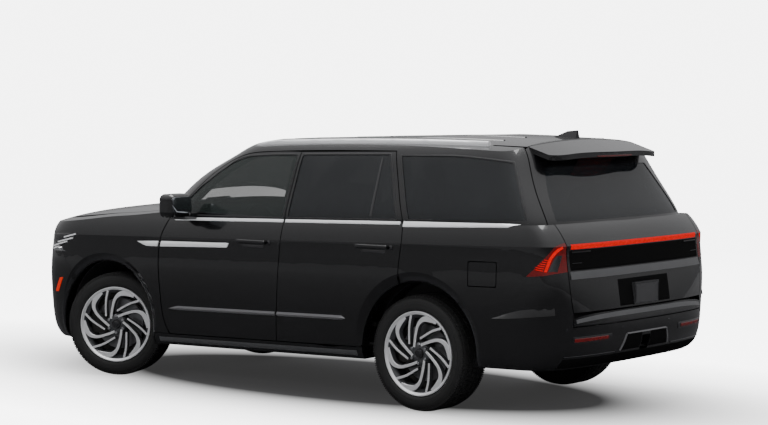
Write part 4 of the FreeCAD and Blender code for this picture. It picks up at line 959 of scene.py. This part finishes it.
# Side glass, handles, mirrors and sill: seals follow the outline of each opening.
axleX, baseLength, rearReach = -1.410, 3.111, 1.257
windowShares = {
    "front": ((0.768, 2.06), (0.768, 2.10), (0.735, 2.25), (0.698, 2.40), (0.655, 2.545),
              (0.608, 2.68), (0.580, 2.735), (0.559, 2.755), (0.48, 2.77), (0.400, 2.77),
              (0.405, 2.40), (0.410, 2.045)),
    "rear": ((0.393, 2.045), (0.388, 2.40), (0.383, 2.77), (0.25, 2.769), (0.118, 2.765),
             (0.096, 2.48), (0.072, 2.12), (0.066, 2.045)),
    "quarter": ((0.031, 2.045), (0.060, 2.42), (0.084, 2.75), (-0.05, 2.748), (-0.231, 2.73),
                (-0.40, 2.70), (-0.555, 2.665), (-0.63, 2.35), (-0.695, 2.06))}
sideDetail = {"sealWidth": 0.011, "sealRise": 0.0022, "sealGap": 0.002, "cupRise": 0.0012,
              "sealSkins": {"front": ("door_front_",), "rear": ("door_rear_",),
                            "quarter": ("roof_sides", "body_sides")},
              "handles": (("front", 0.536, 1.838), ("rear", 0.165, 1.828)),
              "handleLength": 0.272, "mirrorInset": 0.022, "mirrorRoot": 0.085,
              "mirrorFoot": 0.030, "mirrorRound": (0.85, 0.15, 0.012)}


def placeOf(station, level):
    # X and Z of a station and level share, as in the part
    if station < 0:
        x = axleX + station * rearReach
    else:
        x = axleX + station * baseLength
    z = 0.312 + (level - 1) * 0.973 if level <= 2 else 1.285 + (level - 2) * 0.617
    return x, z - rake * x


def finer(points, step):
    # closed outline with extra points so that no side is longer than step
    fine = []
    for p, q in zip(points, points[1:] + points[:1]):
        far = math.dist(p, q)
        count = max(1, math.ceil(far / step))
        fine += [tuple(a + (b - a) * i / count for a, b in zip(p, q)) for i in range(count)]
    return fine


def loopRows(points, gap, width):
    # rows of one width outside a closed outline
    points = finer(points, 0.045)
    area = sum(p[0] * q[1] - q[0] * p[1] for p, q in zip(points, points[1:] + points[:1]))
    sign = 1 if area > 0 else -1
    rows = []
    for i, p in enumerate(points):
        before, after = Vector(points[i - 1]), Vector(points[(i + 1) % len(points)])
        along = (after - before).normalized()
        out = Vector((along.y, -along.x)) * sign
        rows.append((tuple(Vector(p) + out * gap), tuple(Vector(p) + out * (gap + width))))
    return rows + rows[:1]


def handleRuns(spec):
    runs = []
    for place, station, level in spec["handles"]:
        door = ("door_%s_" % place,)
        front, z = axleX + station * baseLength, placeOf(station, level)[1]
        rear = front - spec["handleLength"]
        for label, a, b in (("front", front + 0.006, front + 0.034),
                            ("rear", rear - 0.034, rear - 0.006)):
            rows = [((x, z - half), (x, z + half))
                    for x, half in ((a, 0.016), (0.5 * (a + b), 0.018), (b, 0.016))]
            runs.append(("handle_bezel_%s_%s_" % (label, place), door, rows, 0.004, glossCoat))
        # Painted shade: a flat piano-black strip below each handle stands in for the shaded cup
        # recess.
        rows = bandRows(rear + 0.03, front - 0.03, (z - 0.044, z - 0.020), 12)
        runs.append(("handle_cup_%s_" % place, door, rows, spec["cupRise"], glossCoat))
    return runs


def mirrorFace(spec, side, hand):
    low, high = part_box("mirror_" + hand)
    inset = spec["mirrorInset"]
    y0, y1 = sorted((low[1], high[1]), key=abs)
    y0, y1 = y0 + side * spec["mirrorRoot"], y1 - side * inset
    z0, z1 = low[2] + spec["mirrorFoot"] + inset, high[2] - inset
    start, run, depth = spec["mirrorRound"]
    rows = []
    for t in spread(0.0, 1.0, 12):
        y, trim = y0 + (y1 - y0) * t, depth * max(0, (t - start) / run) ** 2
        rows.append(((y, z0 + trim), (y, z1 - trim)))
    layStrip("mirror_glass_" + hand, skinOf("mirror_" + hand), mirrorLine, rows, 0.003,
             ("bright_trim", "mirror_face"))


def mirrorLine(y, z):
    return (0.2, y, z), (1, 0, 0)


def sideGroup(spec):
    laySides([("window_seal_%s_" % place, names,
               loopRows([placeOf(*share) for share in windowShares[place]], spec["sealGap"],
                        spec["sealWidth"]), spec["sealRise"], plainCoat)
              for place, names in spec["sealSkins"].items()]
             + handleRuns(spec)
             + [("sill_strip_", ("body_sides",), raked(bandRows(1.13, -0.86, sillBand, 40)),
                 0.004, ("bright_trim", "satin_dark"))])
    for side, hand in sides:
        mirrorFace(spec, side, hand)
    print("side details ready")


sideGroup(sideDetail)

# Nose and roof: lamp bars, marker, roof beads, grille bars and wipers.
noseTrim = {"lampBars": (((2.200, 1.076), (2.052, 1.106)), ((2.290, 1.034), (2.085, 1.074)),
                         ((2.372, 0.997), (2.155, 1.044)), ((2.430, 0.967), (2.262, 0.998))),
            "barHalf": 0.006, "beads": (0.24, 0.50), "beadRun": (0.15, -1.80),
            "beadHalf": 0.015, "grilleBars": 7, "grilleHalf": 0.007, "grilleInset": 0.03,
            "grilleWaist": 0.10, "wiper": ((0.08, 1.315), (0.62, 1.375)), "wiperWidth": 0.016,
            "wiperShift": 0.5}
bladeRows = [((x, low), (x, high)) for x, low, high in (
    (2.040, 1.108, 1.113), (2.100, 1.070, 1.112), (2.160, 1.036, 1.110), (2.232, 0.999, 1.108),
    (2.300, 0.982, 1.105), (2.363, 0.968, 1.101), (2.420, 0.956, 1.096))]
markerRows = (((2.325, 0.631), (2.250, 0.750)), ((2.300, 0.632), (2.226, 0.752)),
              ((2.277, 0.634), (2.206, 0.753)))
beadSection = ((0, -0.3), (0.2, 0.6), (0.5, 1.0), (0.8, 0.6), (1, -0.3))


def noseLine(y, z):
    return (3.2, y, z), (-1, 0, 0)


def raised(start, end, low, high, count):
    # rows along a line between two points, from one height beside it to another
    return straight(*(((a, b + low), (a, b + high)) for a, b in (start, end)), count)


def noseGroup(spec):
    corner = ("headlamps", "front_fenders", "front_bumper")
    half = spec["barHalf"]
    laySides([("lamp_blade_", corner, bladeRows, 0.002, glossCoat)]
             + [("lamp_bar_%d_" % i, corner, raised(start, end, -half, half, 14), 0.005,
                 brightCoat) for i, (start, end) in enumerate(spec["lampBars"])]
             + [("side_marker_", ("front_bumper",), markerRows, 0.003,
                 ("lamp_lens", "amber_lens"))])
    half = spec["beadHalf"]
    for side, hand in sides:
        for i, y in enumerate(spec["beads"]):
            rows = bandRows(*spec["beadRun"], (side * y - half, side * y + half), 30)
            layStrip("roof_bead_%d_%s" % (i, hand), skinOf("roof_panel"), roofLine, rows, 0.006,
                     paintCoat, beadSection, 60)
    low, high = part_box("grille")
    count, half = spec["grilleBars"], spec["grilleHalf"]
    for i in range(count):
        share = (i + 0.5) / count
        z = low[2] + (high[2] - low[2]) * share
        reach = high[1] - spec["grilleInset"] - spec["grilleWaist"] * (1 - share) ** 2
        layStrip("grille_bar_%d" % i, skinOf("grille"), noseLine,
                 bandRows(-reach, reach, (z - half, z + half), 30), 0.006, brightCoat)
    start, end = spec["wiper"]
    for shift, hand in ((0, "left"), (spec["wiperShift"], "right")):
        rows = raised((start[0] - shift, start[1]), (end[0] - shift, end[1]), 0,
                      spec["wiperWidth"], 14)
        layStrip("wiper_" + hand, skinOf("windscreen", "cowl", "hood"), noseLine, rows, 0.016,
                 plainCoat)
    print("nose and roof ready")


noseGroup(noseTrim)

# Inner faces: those that look into the cabin get lining, leather or carpet.
linings = {"door_front_left": ("seat_leather", (0, -1, 0)),
           "door_front_right": ("seat_leather", (0, 1, 0)),
           "door_rear_left": ("seat_leather", (0, -1, 0)),
           "door_rear_right": ("seat_leather", (0, 1, 0)), "liftgate": ("trim_black", (1, 0, 0)),
           "roof_panel": ("headliner", (0, 0, -1)), "floor_pan": ("carpet", (0, 0, 1)),
           "hood": ("trim_black", (0, 0, -1)), "tail_flap": ("trim_black", (1, 0, 0))}


def lineInside(table):
    for name, (look, inward) in table.items():
        mesh = nodes[name].data
        mesh.materials.append(looks[look])
        way = Vector(inward)
        index = len(mesh.materials) - 1
        for face in mesh.polygons:
            if face.normal.dot(way) > 0.45:
                face.material_index = index
    print("linings ready")


lineInside(linings)

# Roof rails with tapered ends, and the divider of each rear window.
railTrim = {"ends": (0.335, -2.150), "taper": 0.22, "rise": 0.030, "foot": 0.002,
            "half": 0.019, "endShare": 0.4, "inset": 0.03, "search": (0.60, 0.78, 91)}
railSection = ((0, -0.3), (0.06, 0.6), (0.2, 0.92), (0.5, 1.0), (0.8, 0.92), (0.94, 0.6),
               (1, -0.3), (0.5, -0.3))
dividerRows = straight(((-0.9560, 1.318), (-0.9800, 1.318)),
                       ((-0.9690, 1.752), (-0.9870, 1.752)), 16)


def railMiddle(spec, x, side):
    # Y of the middle of the solid's rail at X
    hits = [y for y in spread(*spec["search"])
            if skinOf("roof_rails").hit(*roofLine(x, side * y))[0] is not None]
    return (hits[0] + hits[-1]) / 2


def railGroup(spec):
    start, end = spec["ends"]
    for side, hand in sides:
        rows, rises = [], []
        for x in spread(start, end, 70):
            held = min(max(x, end + spec["inset"]), start - spec["inset"])
            middle = railMiddle(spec, held, side)
            grow = max(0, min(1, (start - x) / spec["taper"], (x - end) / spec["taper"]))
            swell = math.sin(grow * math.pi / 2)
            half = spec["half"] * (spec["endShare"] + (1 - spec["endShare"]) * swell)
            rises.append(spec["foot"] + spec["rise"] * swell)
            rows.append(((x, side * (middle - half)), (x, side * (middle + half))))
        piece = layStrip("roof_rail_" + hand, skinOf("roof_panel", "roof_sides"), roofLine, rows,
                         rises, brightCoat, railSection, 50)
        if hand == "left":
            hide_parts("roof_rails")
    laySides([("window_divider_", ("window_rear_",), dividerRows, 0.004, glossCoat)])
    print("rails ready")


railGroup(railTrim)

# Arch lips, laid in arcs round each wheel opening, and the shields behind the brake discs.
archTrim = {"inner": 0.5085, "outer": 0.5400, "rise": 0.004, "height": 0.4075, "step": 3}
archArcs = (("front_wing", 1.701, "front_fenders", 40, 184),
            ("front_bumper", 1.701, "front_bumper", -12, 40),
            ("rear_side", -1.410, "body_sides", 76, 150),
            ("rear_bumper", -1.410, "rear_bumper", 140, 192))
archSection = ((0, -0.3), (0.04, 0.7), (0.2, 1.0), (0.7, 0.8), (1, 0.0), (0.9, -0.3))
shieldSection = ((0.088, 0.0025), (0.250, 0.0025), (0.256, 0.0060), (0.2575, 0.0060),
                 (0.2515, 0.0010), (0.088, 0.0010))


def archRows(spec, x, start, end):
    rows = []
    for angle in spread(start, end, 4 + int((end - start) / spec["step"])):
        across, up = math.cos(math.radians(angle)), math.sin(math.radians(angle))
        rows.append(tuple((x + r * across, spec["height"] + r * up)
                          for r in (spec["inner"], spec["outer"])))
    return rows


def archGroup(spec):
    laySides([("arch_lip_%s_" % label, (name,), archRows(spec, x, start, end), spec["rise"],
               ("body_paint", "gloss_trim"), archSection, 60)
              for label, x, name, start, end in archArcs])
    guard = meshFrom("shield", turned(shieldSection, 96))
    for corner in corners:
        body = corner.replace("front", "knuckle") if corner.startswith("front") else "body"
        link("disc_shield_" + corner, atWheel(guard, corner), body,
             ("suspension_iron", "suspension_iron"), 40)
    print("arches ready")


archGroup(archTrim)

# Seats: each set of cushions softened into crowned, sewn pads.
seatTrim = {"voxel": 0.010, "rounds": 14, "strength": 0.55, "fill": 0.8}


def padded(name, spec):
    # rounded copy of a plain cushion
    cushion = nodes[name].data.copy()
    cushion.materials.clear()
    return settled(cushion, ("REMESH", {"mode": "VOXEL", "voxel_size": spec["voxel"]}),
                   ("SMOOTH", {"factor": spec["strength"], "iterations": spec["rounds"]}))


def seatGroup(spec):
    for name in ("front_seats", "rear_seats"):
        pads = link("padded_" + name, padded(name, spec), "body",
                    ("seat_leather", "sewn_leather"), 70)
        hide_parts(name)
    print("seats ready")


seatGroup(seatTrim)
